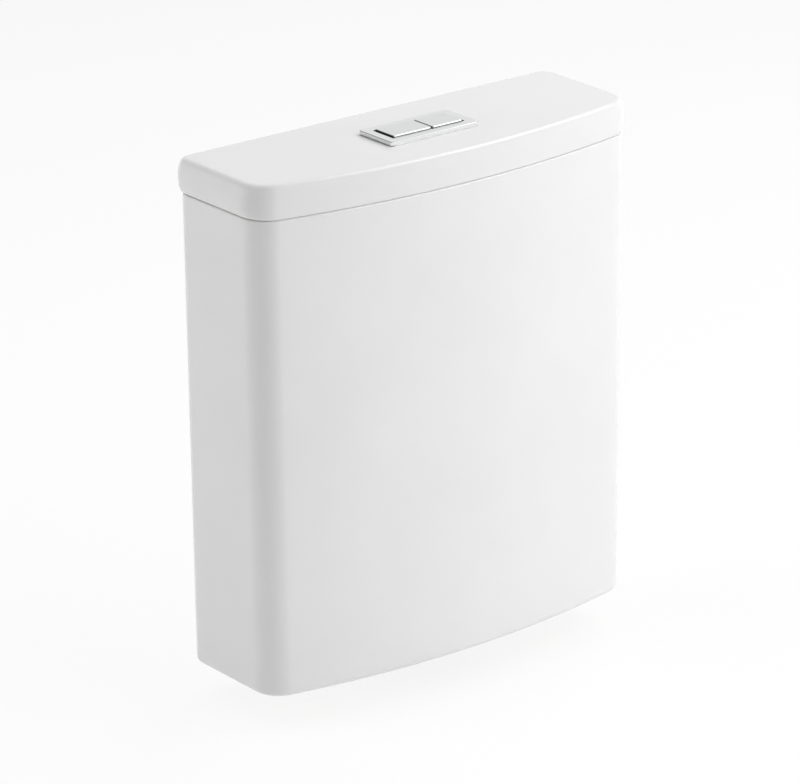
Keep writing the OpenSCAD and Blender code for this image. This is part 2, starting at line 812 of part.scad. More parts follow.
// Tube with the coned flange that backs the flush seal
module overflow_riser() {
    flange = seal_r - seal_t;
    foot_z = flange_top - riser_wall;
    rim_z = seal_top + riser_wall;
    cone_z = rim_z + (flange - riser_r) / 2;
    color("gainsboro")
        rotate_extrude() polygon([
            [riser_r - riser_wall, foot_z], [riser_r, foot_z], [riser_r, seal_top], [flange, seal_top],
            [flange, rim_z], [riser_r, cone_z], [riser_r, overflow_z], [riser_r - riser_wall, overflow_z]
        ]);
}

module flush_seal() {
    color("darkorange") ring(riser_r + slip_gap, seal_r, seat_z, seal_top);
}

module seal_retainer() {
    color("gainsboro") ring(riser_r + slip_gap, throat_r - retainer_gap, flange_top, seat_z);
}

module flush_float() {
    edge = flush_float_edge;
    color("cornflowerblue")
        rotate_extrude() translate([0, flush_float_z]) polygon([
            [riser_r + slip_gap, 0], [flush_float_r - edge, 0], [flush_float_r, edge],
            [flush_float_r, flush_float_h - edge], [flush_float_r - edge, flush_float_h],
            [riser_r + slip_gap, flush_float_h]
        ]);
}

// Collar on the riser with an arm, a post and a hook over the full lever's nose
module lift_yoke() {
    x0 = full_stem_x - lever_w / 2;
    x1 = full_stem_x + lever_w / 2;
    post_y = hook_y - pivot_pin_r;
    post_t = 2 * pivot_pin_r;
    color("gainsboro")
        difference() {
            union() {
                disc(riser_r + yoke_wall, yoke_z, yoke_z + yoke_h);
                block([x0, 0, yoke_z], [x1, post_y + post_t, yoke_z + yoke_h]);
                block([x0, post_y, yoke_z], [x1, post_y + post_t, hook_z + hook_t]);
                block([x0, post_y - lever_w, hook_z], [x1, post_y + post_t, hook_z + hook_t]);
            }
            disc(riser_r + slip_gap, yoke_z - cut, yoke_z + yoke_h + cut);
        }
}

// Rocking lever: flat top, belly at the pivot, round noses
module lever(x, hub_x0, hub_x1) {
    nose_z = lever_t / 2 - lever_nose_r;
    front = push_arm + lever_w / 2;
    shape = concat(
        arc([lift_arm - lever_nose_r, nose_z], lever_nose_r, lever_nose_r, -90, 90, small_steps),
        arc([-front, nose_z], lever_nose_r, lever_nose_r, 90, 270, small_steps),
        [[0, -hub_r]]
    );
    color("steelblue")
        translate([0, pivot_y, pivot_z])
            difference() {
                union() {
                    across(x - lever_w / 2, x + lever_w / 2) polygon(shape);
                    across(hub_x0, hub_x1) circle(r = hub_r);
                }
                across(hub_x0 - cut, hub_x1 + cut) circle(r = pivot_pin_r + pivot_gap);
            }
}

module full_lever() {
    lever(full_stem_x, hub_gap - ear_in, split_x - hub_gap);
}

module half_lever() {
    lever(half_stem_x, split_x + hub_gap, ear_in - hub_gap);
}

module lever_pin() {
    half = ear_in + ear_t + cut;
    color("silver")
        translate([-half, pivot_y, pivot_z]) rotate([0, 90, 0])
            cylinder(r = pivot_pin_r, h = 2 * half);
}

// Rod that runs in the head plate, with a stop collar and a hook over the half lever's nose
module half_float_rod() {
    stop_z = head_top + push_gap;
    foot_z = half_float_z + half_float_h - half_float_grip;
    x0 = half_stem_x - lever_w / 2;
    x1 = half_stem_x + lever_w / 2;
    color("gainsboro") {
        translate([half_stem_x, hook_y, 0]) {
            disc(pivot_pin_r, foot_z, hook_z + hook_t / 2);
            disc(2 * pivot_pin_r, stop_z, stop_z + hook_t);
        }
        block([x0, hook_y - pivot_pin_r - lever_w, hook_z], [x1, hook_y + pivot_pin_r, hook_z + hook_t]);
    }
}

module half_float() {
    edge = half_float_edge;
    grip_r = pivot_pin_r + slip_gap;
    grip_z = half_float_h - half_float_grip;
    color("cornflowerblue")
        translate([half_stem_x, hook_y, half_float_z])
            rotate_extrude() polygon([
                [0, 0], [half_float_r - edge, 0], [half_float_r, edge], [half_float_r, half_float_h - edge],
                [half_float_r - edge, half_float_h], [grip_r, half_float_h], [grip_r, grip_z], [0, grip_z]
            ]);
}

// Revolved inlet tail, flange and riser tube with outlet slots above the flange
module fill_shank() {
    slot_z = flange_top + 2 * fill_cone;
    groove_top = foot_recess - inlet_nut_h - inlet_relief;
    groove_z = groove_top - inlet_relief;
    groove_r = inlet_r - inlet_relief;
    color("whitesmoke")
        at_fill() difference() {
            rotate_extrude() polygon([
                [inlet_bore_r, -inlet_drop], [inlet_r, -inlet_drop], [inlet_r, groove_z],
                [groove_r, groove_z], [groove_r, groove_top], [inlet_r, groove_top],
                [inlet_r, flange_z], [inlet_flange_r, flange_z], [inlet_flange_r, flange_top - small_bevel],
                [fill_riser_r, flange_top + fill_cone], [fill_riser_r, fill_tube_top],
                [inlet_bore_r, fill_tube_top]
            ]);
            for (turn = [0, 90])
                rotate(turn) block([-inlet_flange_r, -water_slot_w / 2, slot_z],
                    [inlet_flange_r, water_slot_w / 2, slot_z + water_slot_h]);
        }
}

module shank_gasket() {
    color("dimgray") at_fill() ring(inlet_r + thread_gap, inlet_flange_r, floor_top, flange_z);
}

module shank_locknut() {
    color("whitesmoke")
        at_fill() nut(inlet_nut_r, 6, inlet_r + thread_gap, foot_recess - inlet_nut_h, foot_recess);
}

// Valve head that slips over the riser tube, with two ears beside the cap
module fill_head() {
    ear_y = arm_pivot_y - fill_y;
    ear_low = ear_y - fill_ear_r;
    bracket_z = cap_z - bracket_h;
    ear_end = fill_ear_x + fill_ear_t;
    sleeve_r = fill_riser_r + sleeve_wall;
    color("whitesmoke")
        at_fill() difference() {
            union() {
                rotate_extrude() polygon([
                    [0, fill_sleeve_z], [sleeve_r, fill_sleeve_z], [sleeve_r, fill_head_z - fill_cone],
                    [fill_head_r, fill_head_z + fill_cone], [fill_head_r, cap_z], [0, cap_z]
                ]);
                for (side = [0, 1]) mirror([side, 0, 0]) {
                    block([0, ear_low, bracket_z - bracket_h], [ear_end, ear_y + fill_ear_r, bracket_z]);
                    across(fill_ear_x, ear_end) {
                        translate([ear_low, bracket_z - cut])
                            square([2 * fill_ear_r, arm_z - bracket_z + cut]);
                        translate([ear_y, arm_z]) circle(r = fill_ear_r);
                    }
                }
            }
            disc(fill_riser_r + slip_gap, fill_sleeve_z - cut, fill_tube_top);
            translate([-ear_end - cut, ear_y, arm_z]) rotate([0, 90, 0])
                cylinder(r = arm_pin_r + pivot_gap, h = 2 * (ear_end + cut));
        }
}

module head_diaphragm() {
    color("dimgray") at_fill() disc(fill_head_r - cap_wall, cap_z, cap_z + diaphragm_t);
}

// Cap with a recess for the diaphragm
module head_cap() {
    rest_z = cap_z + diaphragm_t;
    room = fill_head_r - cap_wall + thread_gap;
    color("steelblue")
        at_fill() rotate_extrude() polygon([
            [0, rest_z], [room, rest_z], [room, cap_z], [cap_r, cap_z], [cap_r, cap_top - cap_edge],
            [cap_r - cap_edge, cap_top], [0, cap_top]
        ]);
}

// Arm over the cap: hub between the ears, slot for the float link, pad behind the pivot
module float_arm() {
    slot_r = link_r + push_gap;
    slant = arm_t / 2 * tan(arm_swing);
    slot_in = arm_len - slot_r - slant;
    slot_out = arm_len / cos(arm_swing) + slot_r + slant;
    color("steelblue")
        translate([fill_x, arm_pivot_y, arm_z])
            difference() {
                union() {
                    block([-arm_w / 2, -slot_out - arm_end_t, -arm_t / 2], [arm_w / 2, arm_tail, arm_t / 2]);
                    across(hub_gap - fill_ear_x, fill_ear_x - hub_gap) circle(r = arm_hub_r);
                }
                block([-slot_r, -slot_out, -arm_t], [slot_r, -slot_in, arm_t]);
                across(-fill_ear_x - cut, fill_ear_x + cut) circle(r = arm_pin_r + pivot_gap);
            }
}

module arm_pin() {
    half = fill_ear_x + fill_ear_t + cut;
    color("silver")
        translate([fill_x - half, arm_pivot_y, arm_z]) rotate([0, 90, 0])
            cylinder(r = arm_pin_r, h = 2 * half);
}

// Ring float, open below, that runs on the fill riser, with a boss for the link
module float_cup() {
    edge = float_edge;
    bore = fill_riser_r + float_gap;
    roof = float_h - float_wall;
    link_z = float_top - link_grip;
    color("gainsboro")
        difference() {
            union() {
                at_fill() rotate_extrude() translate([0, float_z]) polygon([
                    [bore, 0], [bore + float_wall, 0], [bore + float_wall, roof], [float_r - edge, roof],
                    [float_r - float_wall, roof - edge], [float_r - float_wall, 0], [float_r, 0],
                    [float_r, float_h - edge], [float_r - edge, float_h], [bore, float_h]
                ]);
                translate([fill_x, link_y, 0]) disc(link_boss_r, link_z - float_wall, float_top + link_grip);
            }
            translate([fill_x, link_y, 0]) disc(link_r + slip_gap, link_z, float_top + link_grip + cut);
        }
}

// Rod from the float cup, with the shoulder that lifts the arm
module float_link() {
    color("silver")
        translate([fill_x, link_y, 0]) {
            disc(link_r, float_top - link_grip, clip_z + clip_h + link_free);
            disc(link_boss_r, shoulder_z - shoulder_t, shoulder_z);
        }
}

module link_clip() {
    color("steelblue")
        translate([fill_x, link_y, 0]) ring(link_r + slip_gap, link_boss_r, clip_z, clip_z + clip_h);
}

// Cup-headed bolts with a driver slot
module pan_bolts() {
    thread_top = hex_z - slip_gap;
    seat = floor_top + bolt_seal_t;
    crown_z = seat + bolt_head_h;
    slot_z = seat + bolt_head_h / 2;
    color("silver")
        at_bolts() difference() {
            rotate_extrude() polygon([
                [0, -bolt_drop], [bolt_r - bolt_point, -bolt_drop], [bolt_r, bolt_point - bolt_drop],
                [bolt_r, thread_top], [bolt_core_r, thread_top], [bolt_core_r, seat], [bolt_head_r, seat],
                [bolt_head_r, slot_z], [bolt_head_r - bolt_head_h / 2, crown_z], [0, crown_z]
            ]);
            block([-bolt_head_r, -bolt_slot_w / 2, slot_z], [bolt_head_r, bolt_slot_w / 2, crown_z + cut]);
        }
}

module bolt_seals() {
    color("dimgray") at_bolts() ring(bolt_r + thread_gap, bolt_seal_r, floor_top, floor_top + bolt_seal_t);
}

module bolt_washers() {
    color("silver") at_bolts() ring(bolt_r + thread_gap, washer_r, foot_recess - washer_t, foot_recess);
}

module bolt_nuts() {
    color("silver") at_bolts() nut(hex_r, 6, bolt_core_r + slip_gap, hex_z, hex_top);
}

tank_body();
tank_lid();
button_bezel();
bezel_gasket();
bezel_clamp();
bezel_nut();
full_flush_key();
half_flush_key();
full_push_rod();
half_push_rod();
full_key_spring();
half_key_spring();
valve_base();
base_gasket();
base_locknut();
pan_seal();
valve_cage();
overflow_riser();
flush_seal();
seal_retainer();
flush_float();
lift_yoke();
full_lever();
half_lever();
lever_pin();
half_float();
half_float_rod();
fill_shank();
shank_gasket();
shank_locknut();
fill_head();
head_diaphragm();
head_cap();
float_arm();
arm_pin();
float_cup();
float_link();
link_clip();
pan_bolts();
bolt_seals();
bolt_washers();
bolt_nuts();
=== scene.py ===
"""Looks of a close-coupled toilet cistern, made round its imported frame."""

import json
import math

import bmesh
import bpy
from mathutils import Matrix, Vector


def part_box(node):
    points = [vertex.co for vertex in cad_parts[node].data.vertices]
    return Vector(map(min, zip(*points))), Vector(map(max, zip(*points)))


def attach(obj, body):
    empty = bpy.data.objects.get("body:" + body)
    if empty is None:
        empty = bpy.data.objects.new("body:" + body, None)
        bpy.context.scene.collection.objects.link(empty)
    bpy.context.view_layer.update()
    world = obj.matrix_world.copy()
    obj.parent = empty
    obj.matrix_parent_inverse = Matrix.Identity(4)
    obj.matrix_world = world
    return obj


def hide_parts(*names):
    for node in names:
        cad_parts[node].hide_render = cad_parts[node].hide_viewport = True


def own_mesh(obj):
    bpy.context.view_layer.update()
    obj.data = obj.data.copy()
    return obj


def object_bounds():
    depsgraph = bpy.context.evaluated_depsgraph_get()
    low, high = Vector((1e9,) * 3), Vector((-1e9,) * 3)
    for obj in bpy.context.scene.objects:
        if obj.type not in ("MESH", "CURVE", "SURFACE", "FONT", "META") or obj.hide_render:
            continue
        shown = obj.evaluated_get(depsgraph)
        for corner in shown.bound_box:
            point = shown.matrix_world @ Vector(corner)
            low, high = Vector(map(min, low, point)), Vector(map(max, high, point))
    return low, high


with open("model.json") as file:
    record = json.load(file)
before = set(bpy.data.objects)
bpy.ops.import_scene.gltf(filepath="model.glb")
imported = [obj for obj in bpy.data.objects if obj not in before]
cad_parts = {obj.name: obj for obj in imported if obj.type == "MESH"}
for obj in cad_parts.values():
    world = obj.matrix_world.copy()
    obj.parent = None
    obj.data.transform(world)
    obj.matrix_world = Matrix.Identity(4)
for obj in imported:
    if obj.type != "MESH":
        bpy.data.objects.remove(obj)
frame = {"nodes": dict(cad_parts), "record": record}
cad_low, cad_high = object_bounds()
nodes = frame["nodes"]
MM = 0.001

# Sizes read from the frame
tank_low, tank_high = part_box("tank_body")
lid_low, lid_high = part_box("tank_lid")
HALF_WIDTH = tank_high.x
BACK_Y = tank_high.y
FRONT_Y = tank_low.y
RIM_Z = tank_high.z
LID_TOP_Z = lid_high.z
LIP_FOOT_Z = lid_low.z
LID_SIDE_OVER = lid_high.x - HALF_WIDTH
LID_BACK_OVER = lid_high.y - BACK_Y

# Ceramic sizes
FRONT_BOW = 22.7 * MM
SIDE_DRAFT = 2.7 * MM
FRONT_CORNER_R = 25 * MM
BACK_CORNER_R = 13 * MM
FOOT_EDGE_R = 6 * MM
RIM_EDGE_R = 2 * MM
WALL_T = 10 * MM
FLOOR_T = 10 * MM
FLOOR_FILLET_R = 7 * MM
FOOT_RECESS = 14 * MM
FOOT_RIM_W = 13 * MM
RECESS_DRAFT = 1.5 * MM
INNER_EDGE_R = 1.5 * MM
LID_T = 10 * MM
LID_FRONT_CORNER_R = 26 * MM
LID_BACK_CORNER_R = 15 * MM
# Upper edges of the lid: tight radius, degrees that the bulge below it turns through, radius of the bulge
LID_SIDE_EDGE = (6.5 * MM, 20, 30 * MM)
LID_FRONT_EDGE = (3.5 * MM, 12, 30 * MM)
SIDE_SEAT_GAP = 0.7 * MM
FRONT_SEAT_GAP = 0.35 * MM
LID_FOOT_IN = 1.1 * MM
LID_LOW_H = 10 * MM
LIP_GAP = 2 * MM
LIP_T = 7 * MM
LEAST_R = 0.6 * MM
LID_PANEL_Z = LID_TOP_Z - LID_T
FLOOR_Z = FOOT_RECESS + FLOOR_T

# Holes in the ceramic
OUTLET_HOLE_R = 32.5 * MM
BOLT_HOLE_R = 6 * MM
INLET_HOLE_R = 13 * MM
WELL_GAP = 1 * MM
WELL_CORNER_R = 2.5 * MM
WELL_WALL = 1.6 * MM
KEY_END_GAP = 1.6 * MM
KEY_FRONT_GAP = 0.6 * MM
CUT_PAST = 2 * MM

# Steps of arcs, and the distance of support points from the end of a straight stretch
BACK_STEPS = 12
CORNER_STEPS = 20
FRONT_STEPS = 72
EDGE_STEPS = 10
INNER_EDGE_STEPS = 4
WELL_CORNER_STEPS = 6
HOLE_STEPS = 64
SUPPORT = 1 * MM

FRONT_R = (HALF_WIDTH ** 2 + FRONT_BOW ** 2) / (2 * FRONT_BOW)
ARC_Y = FRONT_Y + FRONT_R


def arc(centre, rx, ry, start, stop, steps):
    """Points of an elliptic arc, angles in degrees."""
    points = []
    for i in range(steps + 1):
        t = math.radians(start + (stop - start) * i / steps)
        points.append((centre[0] + rx * math.cos(t), centre[1] + ry * math.sin(t)))
    return points


def between(a, b):
    """Two points just inside a straight stretch, which keep its shading flat."""
    share = SUPPORT / math.dist(a, b)
    return [(a[0] + (b[0] - a[0]) * t, a[1] + (b[1] - a[1]) * t) for t in (share, 1 - share)]


def supported(profile):
    """An open profile with support points in its long stretches."""
    points = []
    for a, b in zip(profile, profile[1:]):
        points.append(a)
        if math.dist(a, b) > 4 * SUPPORT:
            points += between(a, b)
    return points + profile[-1:]


def outline(half, back, front_r, corner_r, back_r):
    """Plan outline with a bowed front."""
    x0 = half - corner_r
    y0 = ARC_Y - math.sqrt((front_r - corner_r) ** 2 - x0 * x0)
    turn = math.degrees(math.atan2(ARC_Y - y0, x0))
    back_right = arc((half - back_r, back - back_r), back_r, back_r, 0, 90, BACK_STEPS)
    back_left = arc((back_r - half, back - back_r), back_r, back_r, 90, 180, BACK_STEPS)
    front_left = arc((-x0, y0), corner_r, corner_r, 180, 180 + turn, CORNER_STEPS)
    bow = arc((0, ARC_Y), front_r, front_r, 180 + turn, 360 - turn, FRONT_STEPS)[1:-1]
    front_right = arc((x0, y0), corner_r, corner_r, 360 - turn, 360, CORNER_STEPS)
    return (back_right + between(back_right[-1], back_left[0])
            + back_left + between(back_left[-1], front_left[0])
            + front_left + bow + front_right + between(front_right[-1], back_right[0]))


def tank_ring(inset, z):
    half = HALF_WIDTH - SIDE_DRAFT * (1 - z / RIM_Z) - inset
    points = outline(half, BACK_Y - inset, FRONT_R - inset,
                     max(FRONT_CORNER_R - inset, LEAST_R), max(BACK_CORNER_R - inset, LEAST_R))
    return [(x, y, z) for x, y in points]


def front_shares():
    """How far each point of an outline belongs to its front, from 0 on the sides to 1 on the bow."""
    steps = [i / CORNER_STEPS for i in range(CORNER_STEPS + 1)]
    turn = [t * t * (3 - 2 * t) for t in steps]
    stretch = [0, 0]
    back_corner = [0] * (BACK_STEPS + 1)
    back = back_corner + stretch + back_corner + stretch
    return back + turn + [1] * (FRONT_STEPS - 1) + turn[::-1] + stretch


def lid_ring(side, front):
    """Ring through a point of the lid's side profile and the matching point of its front profile."""
    (side_in, side_z), (front_in, front_z) = side, front
    corner_r = max(LID_FRONT_CORNER_R - (side_in + front_in) / 2, LEAST_R)
    back_r = max(LID_BACK_CORNER_R - side_in, LEAST_R)
    points = outline(HALF_WIDTH + LID_SIDE_OVER - side_in, BACK_Y + LID_BACK_OVER - side_in,
                     FRONT_R - front_in, corner_r, back_r)
    return [(x, y, side_z + (front_z - side_z) * share) for (x, y), share in zip(points, front_shares())]


def upper_edge(radius, angle, bulge_r):
    """Profile of the lid's upper edge: a slow bulge, up to an angle, that ends in a tight radius."""
    rise, aside = math.sin(math.radians(angle)), math.cos(math.radians(angle))
    foot_z = LID_TOP_Z - radius * (1 - rise) - bulge_r * rise
    points = arc((bulge_r, foot_z), bulge_r, bulge_r, 180, 180 - angle, EDGE_STEPS)
    centre = (bulge_r * (1 - aside) + radius * aside, LID_TOP_Z - radius)
    points += arc(centre, radius, radius, 180 - angle, 90, EDGE_STEPS)[1:]
    return points + [(centre[0] + SUPPORT, LID_TOP_Z)]


def skirt_ring(share, z):
    """Ring of the lid's lower edge, which draws in from its widest outline to the tank's own."""
    wide, foot = lid_ring((0, z), (0, z)), tank_ring(LID_FOOT_IN, RIM_Z)
    return [(a[0] + (b[0] - a[0]) * share, a[1] + (b[1] - a[1]) * share, z) for a, b in zip(wide, foot)]


def seated(ring):
    """A ring of the lid's foot, which stands off the rim by a little, less at the front."""
    gaps = [SIDE_SEAT_GAP + (FRONT_SEAT_GAP - SIDE_SEAT_GAP) * share for share in front_shares()]
    return [(x, y, z + gap * (1 - (z - RIM_Z) / LID_LOW_H)) for (x, y, z), gap in zip(ring, gaps)]


def rounded(width, depth, radius, steps):
    """Rectangle with round corners, centred on the origin."""
    x, y = width / 2 - radius, depth / 2 - radius
    points = arc((x, y), radius, radius, 0, 90, steps)
    points += arc((-x, y), radius, radius, 90, 180, steps)
    points += arc((-x, -y), radius, radius, 180, 270, steps)
    points += arc((x, -y), radius, radius, 270, 360, steps)
    return points


def new_object(name, bm, smooth_angle=35):
    """An object from a bmesh, smooth except at edges sharper than the angle."""
    bmesh.ops.recalc_face_normals(bm, faces=bm.faces)
    mesh = bpy.data.meshes.new(name)
    bm.to_mesh(mesh)
    bm.free()
    mesh.shade_smooth()
    mesh.set_sharp_from_angle(angle=math.radians(smooth_angle))
    piece = bpy.data.objects.new(name, mesh)
    bpy.context.scene.collection.objects.link(piece)
    return piece


def loft(name, rings):
    """Closed surface through a stack of rings with equal point counts."""
    bm = bmesh.new()
    rows = [[bm.verts.new(p) for p in ring] for ring in rings]
    count = len(rows[0])
    for low, high in zip(rows, rows[1:]):
        for i in range(count):
            j = (i + 1) % count
            bm.faces.new((low[i], low[j], high[j], high[i]))
    bm.faces.new(list(reversed(rows[0])))
    bm.faces.new(rows[-1])
    return new_object(name, bm)


def prism(name, points, z0, z1):
    return loft(name, [[(x, y, z) for x, y in points] for z in (z0, z1)])


def drilled(piece, cutters, smooth_angle=35):
    """Cuts the cutters out of the piece and deletes them."""
    for cutter in cutters:
        cut = piece.modifiers.new(cutter.name, "BOOLEAN")
        cut.object = cutter
        cut.operation = "DIFFERENCE"
        cut.solver = "EXACT"
    graph = bpy.context.evaluated_depsgraph_get()
    mesh = bpy.data.meshes.new_from_object(piece.evaluated_get(graph))
    piece.modifiers.clear()
    piece.data = mesh
    mesh.shade_smooth()
    mesh.set_sharp_from_angle(angle=math.radians(smooth_angle))
    for cutter in cutters:
        bpy.data.objects.remove(cutter)
    return piece


def round_cutter(name, x, y, radius, z0, z1):
    return prism(name, arc((x, y), radius, radius, 0, 360, HOLE_STEPS)[:-1], z0, z1)


def block(name, x, y, width, depth, z0, z1):
    corners = ((-0.5, -0.5), (0.5, -0.5), (0.5, 0.5), (-0.5, 0.5))
    return prism(name, [(x + px * width, y + py * depth) for px, py in corners], z0, z1)


def centre_of(node):
    low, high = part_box(node)
    return (low + high) / 2


def keys_box():
    """Corners of the box round both keys."""
    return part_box("full_flush_key")[0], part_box("half_flush_key")[1]


# Shader helpers
NOISE_SPAN = (0.3, 0.7)
UNIT_SPAN = (0, 1)


def shader(name):
    """A new material with its node tree, principled shader and frame coordinates."""
    material = bpy.data.materials.new(name)
    material.use_nodes = True
    tree = material.node_tree
    bsdf = next(n for n in tree.nodes if n.type == "BSDF_PRINCIPLED")
    place = tree.nodes.new("ShaderNodeTexCoord").outputs["Object"]
    return material, tree, bsdf, place


def stretched(tree, place, scale):
    """Coordinates stretched by a factor on each axis."""
    mapping = tree.nodes.new("ShaderNodeMapping")
    mapping.inputs["Scale"].default_value = scale
    tree.links.new(place, mapping.inputs["Vector"])
    return mapping.outputs["Vector"]


def noise(tree, place, scale, detail=3.0, roughness=0.5):
    node = tree.nodes.new("ShaderNodeTexNoise")
    node.inputs["Scale"].default_value = scale
    node.inputs["Detail"].default_value = detail
    node.inputs["Roughness"].default_value = roughness
    tree.links.new(place, node.inputs["Vector"])
    return node.outputs["Fac"]


def calculated(tree, operation, *values):
    """A math node on outputs of other nodes or plain numbers."""
    node = tree.nodes.new("ShaderNodeMath")
    node.operation = operation
    for socket, value in zip(node.inputs, values):
        if isinstance(value, bpy.types.NodeSocket):
            tree.links.new(value, socket)
        else:
            socket.default_value = value
    return node.outputs["Value"]


def less_than(tree, value, limit):
    return calculated(tree, "LESS_THAN", value, limit)


def more_than(tree, value, limit):
    return calculated(tree, "GREATER_THAN", value, limit)


def product(tree, a, b):
    return calculated(tree, "MULTIPLY", a, b)


def either(tree, a, b):
    return calculated(tree, "MAXIMUM", a, b)


def parts_of(tree, vector):
    """The X, Y and Z of a vector."""
    split = tree.nodes.new("ShaderNodeSeparateXYZ")
    tree.links.new(vector, split.inputs["Vector"])
    return split.outputs


def ranged(tree, value, source, target):
    """A value mapped from one range to another."""
    node = tree.nodes.new("ShaderNodeMapRange")
    for name, limit in zip(("From Min", "From Max", "To Min", "To Max"), (*source, *target)):
        node.inputs[name].default_value = limit
    tree.links.new(value, node.inputs["Value"])
    return node.outputs["Result"]


def spread(tree, value, low, high):
    """A noise value mapped to a range."""
    return ranged(tree, value, NOISE_SPAN, (low, high))


def tinted(tree, value, dark, light):
    """A noise value mapped between two colours."""
    ramp = tree.nodes.new("ShaderNodeValToRGB")
    for element, position, color in zip(ramp.color_ramp.elements, NOISE_SPAN, (dark, light)):
        element.position = position
        element.color = (*color, 1)
    tree.links.new(value, ramp.inputs["Fac"])
    return ramp.outputs["Color"]


def shaded(color, factor):
    return tuple(c * factor for c in color)


def mottled(tree, value, color, variation):
    """A colour that a noise value makes a little darker and lighter."""
    return tinted(tree, value, shaded(color, 1 - variation), shaded(color, 1 + variation))


def painted(tree, base, mask, color):
    """A base colour with another colour, plain or from a node, where the mask is 1."""
    mix = tree.nodes.new("ShaderNodeMix")
    mix.data_type = "RGBA"
    tree.links.new(mask, mix.inputs["Factor"])
    tree.links.new(base, mix.inputs["A"])
    if isinstance(color, bpy.types.NodeSocket):
        tree.links.new(color, mix.inputs["B"])
    else:
        mix.inputs["B"].default_value = (*color, 1)
    return mix.outputs["Result"]


def bumped(tree, bsdf, value, depth, strength=1.0):
    bump = tree.nodes.new("ShaderNodeBump")
    bump.inputs["Distance"].default_value = depth
    bump.inputs["Strength"].default_value = strength
    tree.links.new(value, bump.inputs["Height"])
    tree.links.new(bump.outputs["Normal"], bsdf.inputs["Normal"])


# Finishes
GLAZE_COLOR = (0.80, 0.80, 0.80)
GLAZE_VARIATION = 0.015
GLAZE_ROUGHNESS = 0.09
GLAZE_IOR = 1.52
PEEL_DEPTH = 0.03 * MM
PEEL_STRENGTH = 0.5
BISQUE_COLOR = (0.66, 0.63, 0.58)
BISQUE_TONES = (0.93, 1.05)
BISQUE_ROUGHNESS = 0.75
BARE_FACING = (-0.93, -0.985)
CHROME_COLOR = (0.69, 0.695, 0.70)
CHROME_VARIATION = 0.015
# Painted highlight: the plate's front-facing walls are brighter than its top
CHROME_FRONT_HIGHLIGHT = (0.95, 0.95, 0.955)
# Painted shade: a dark line on the plate's chamfers
CHAMFER_SHADE_COLOR = (0.25, 0.25, 0.255)
CHAMFER_TILT = (0.3, 0.9)
FACES_FRONT = -0.3
FACES_DOWN = -0.5
# Painted shade: near-black in the well, the gaps round the keys and under the plate
GAP_SHADE_COLOR = (0.012, 0.012, 0.013)
WELL_ROUGHER = 0.5
WALL_SEEN = 0.15 * MM
KEY_COLOR = (0.66, 0.665, 0.67)
KEY_VARIATION = 0.012
# Painted shade: the keys' chamfers are darker, which dims their highlight
KEY_CHAMFER_SHADE_COLOR = (0.4, 0.4, 0.405)
KEY_WALL_SEEN = 0.4 * MM
FOAM_DARK = (0.03, 0.03, 0.032)
FOAM_LIGHT = (0.075, 0.075, 0.08)
FOAM_ROUGHNESS = 0.9
FOAM_PORE = 0.25 * MM
UNEVEN_GLOSS = 0.15
STREAK_X = (4, 160, 160)


def surface(name, color, roughness, variation, grain, depth, metallic=0.0, stretch=None):
    """A material with mottled colour, uneven gloss and a fine grain, all in frame coordinates."""
    material, tree, bsdf, place = shader(name)
    grain_place = stretched(tree, place, stretch) if stretch else place
    broad = noise(tree, place, scale=40)
    fine = noise(tree, grain_place, grain, detail=2.0)
    gloss = spread(tree, fine, roughness * (1 - UNEVEN_GLOSS), roughness * (1 + UNEVEN_GLOSS))
    tree.links.new(mottled(tree, broad, color, variation), bsdf.inputs["Base Color"])
    tree.links.new(gloss, bsdf.inputs["Roughness"])
    bumped(tree, bsdf, fine, depth)
    bsdf.inputs["Metallic"].default_value = metallic
    return material


def glaze_material():
    """Glossy white glaze with a faint orange peel, and bare fired clay where a face looks straight down."""
    material, tree, bsdf, place = shader("white_glaze")
    broad = noise(tree, place, scale=9, detail=2.0)
    peel = noise(tree, place, scale=70, detail=1.0)
    clay = noise(tree, place, scale=600, detail=6.0, roughness=0.7)
    glaze = mottled(tree, broad, GLAZE_COLOR, GLAZE_VARIATION)
    bare = tinted(tree, clay, *(shaded(BISQUE_COLOR, tone) for tone in BISQUE_TONES))
    geometry = tree.nodes.new("ShaderNodeNewGeometry")
    down = ranged(tree, parts_of(tree, geometry.outputs["Normal"])["Z"], BARE_FACING, UNIT_SPAN)
    gloss = ranged(tree, down, UNIT_SPAN, (GLAZE_ROUGHNESS, BISQUE_ROUGHNESS))
    tree.links.new(painted(tree, glaze, down, bare), bsdf.inputs["Base Color"])
    tree.links.new(gloss, bsdf.inputs["Roughness"])
    bumped(tree, bsdf, peel, PEEL_DEPTH, PEEL_STRENGTH)
    bsdf.inputs["IOR"].default_value = GLAZE_IOR
    return material


def below_plate(tree, place):
    """1 on the flush plate's well and window walls, 0 on the plate itself."""
    middle = centre_of("button_bezel")
    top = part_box("button_bezel")[1].z
    keys_low, keys_high = keys_box()
    reach_x = (keys_high.x - keys_low.x) / 2 + KEY_END_GAP + WALL_SEEN
    reach_y = (keys_high.y - keys_low.y) / 2 + KEY_FRONT_GAP + WALL_SEEN
    parts = parts_of(tree, place)
    inside = less_than(tree, parts["Z"], top - WALL_SEEN)
    for axis, centre, reach in (("X", middle.x, reach_x), ("Y", middle.y, reach_y)):
        off = calculated(tree, "SUBTRACT", parts[axis], centre)
        inside = product(tree, inside, less_than(tree, calculated(tree, "ABSOLUTE", off), reach))
    return inside


def face_direction(tree):
    """The parts of the face's own normal."""
    geometry = tree.nodes.new("ShaderNodeNewGeometry")
    return parts_of(tree, geometry.outputs["True Normal"])


def on_chamfer(tree, normal):
    least, most = CHAMFER_TILT
    return product(tree, more_than(tree, normal["Z"], least), less_than(tree, normal["Z"], most))


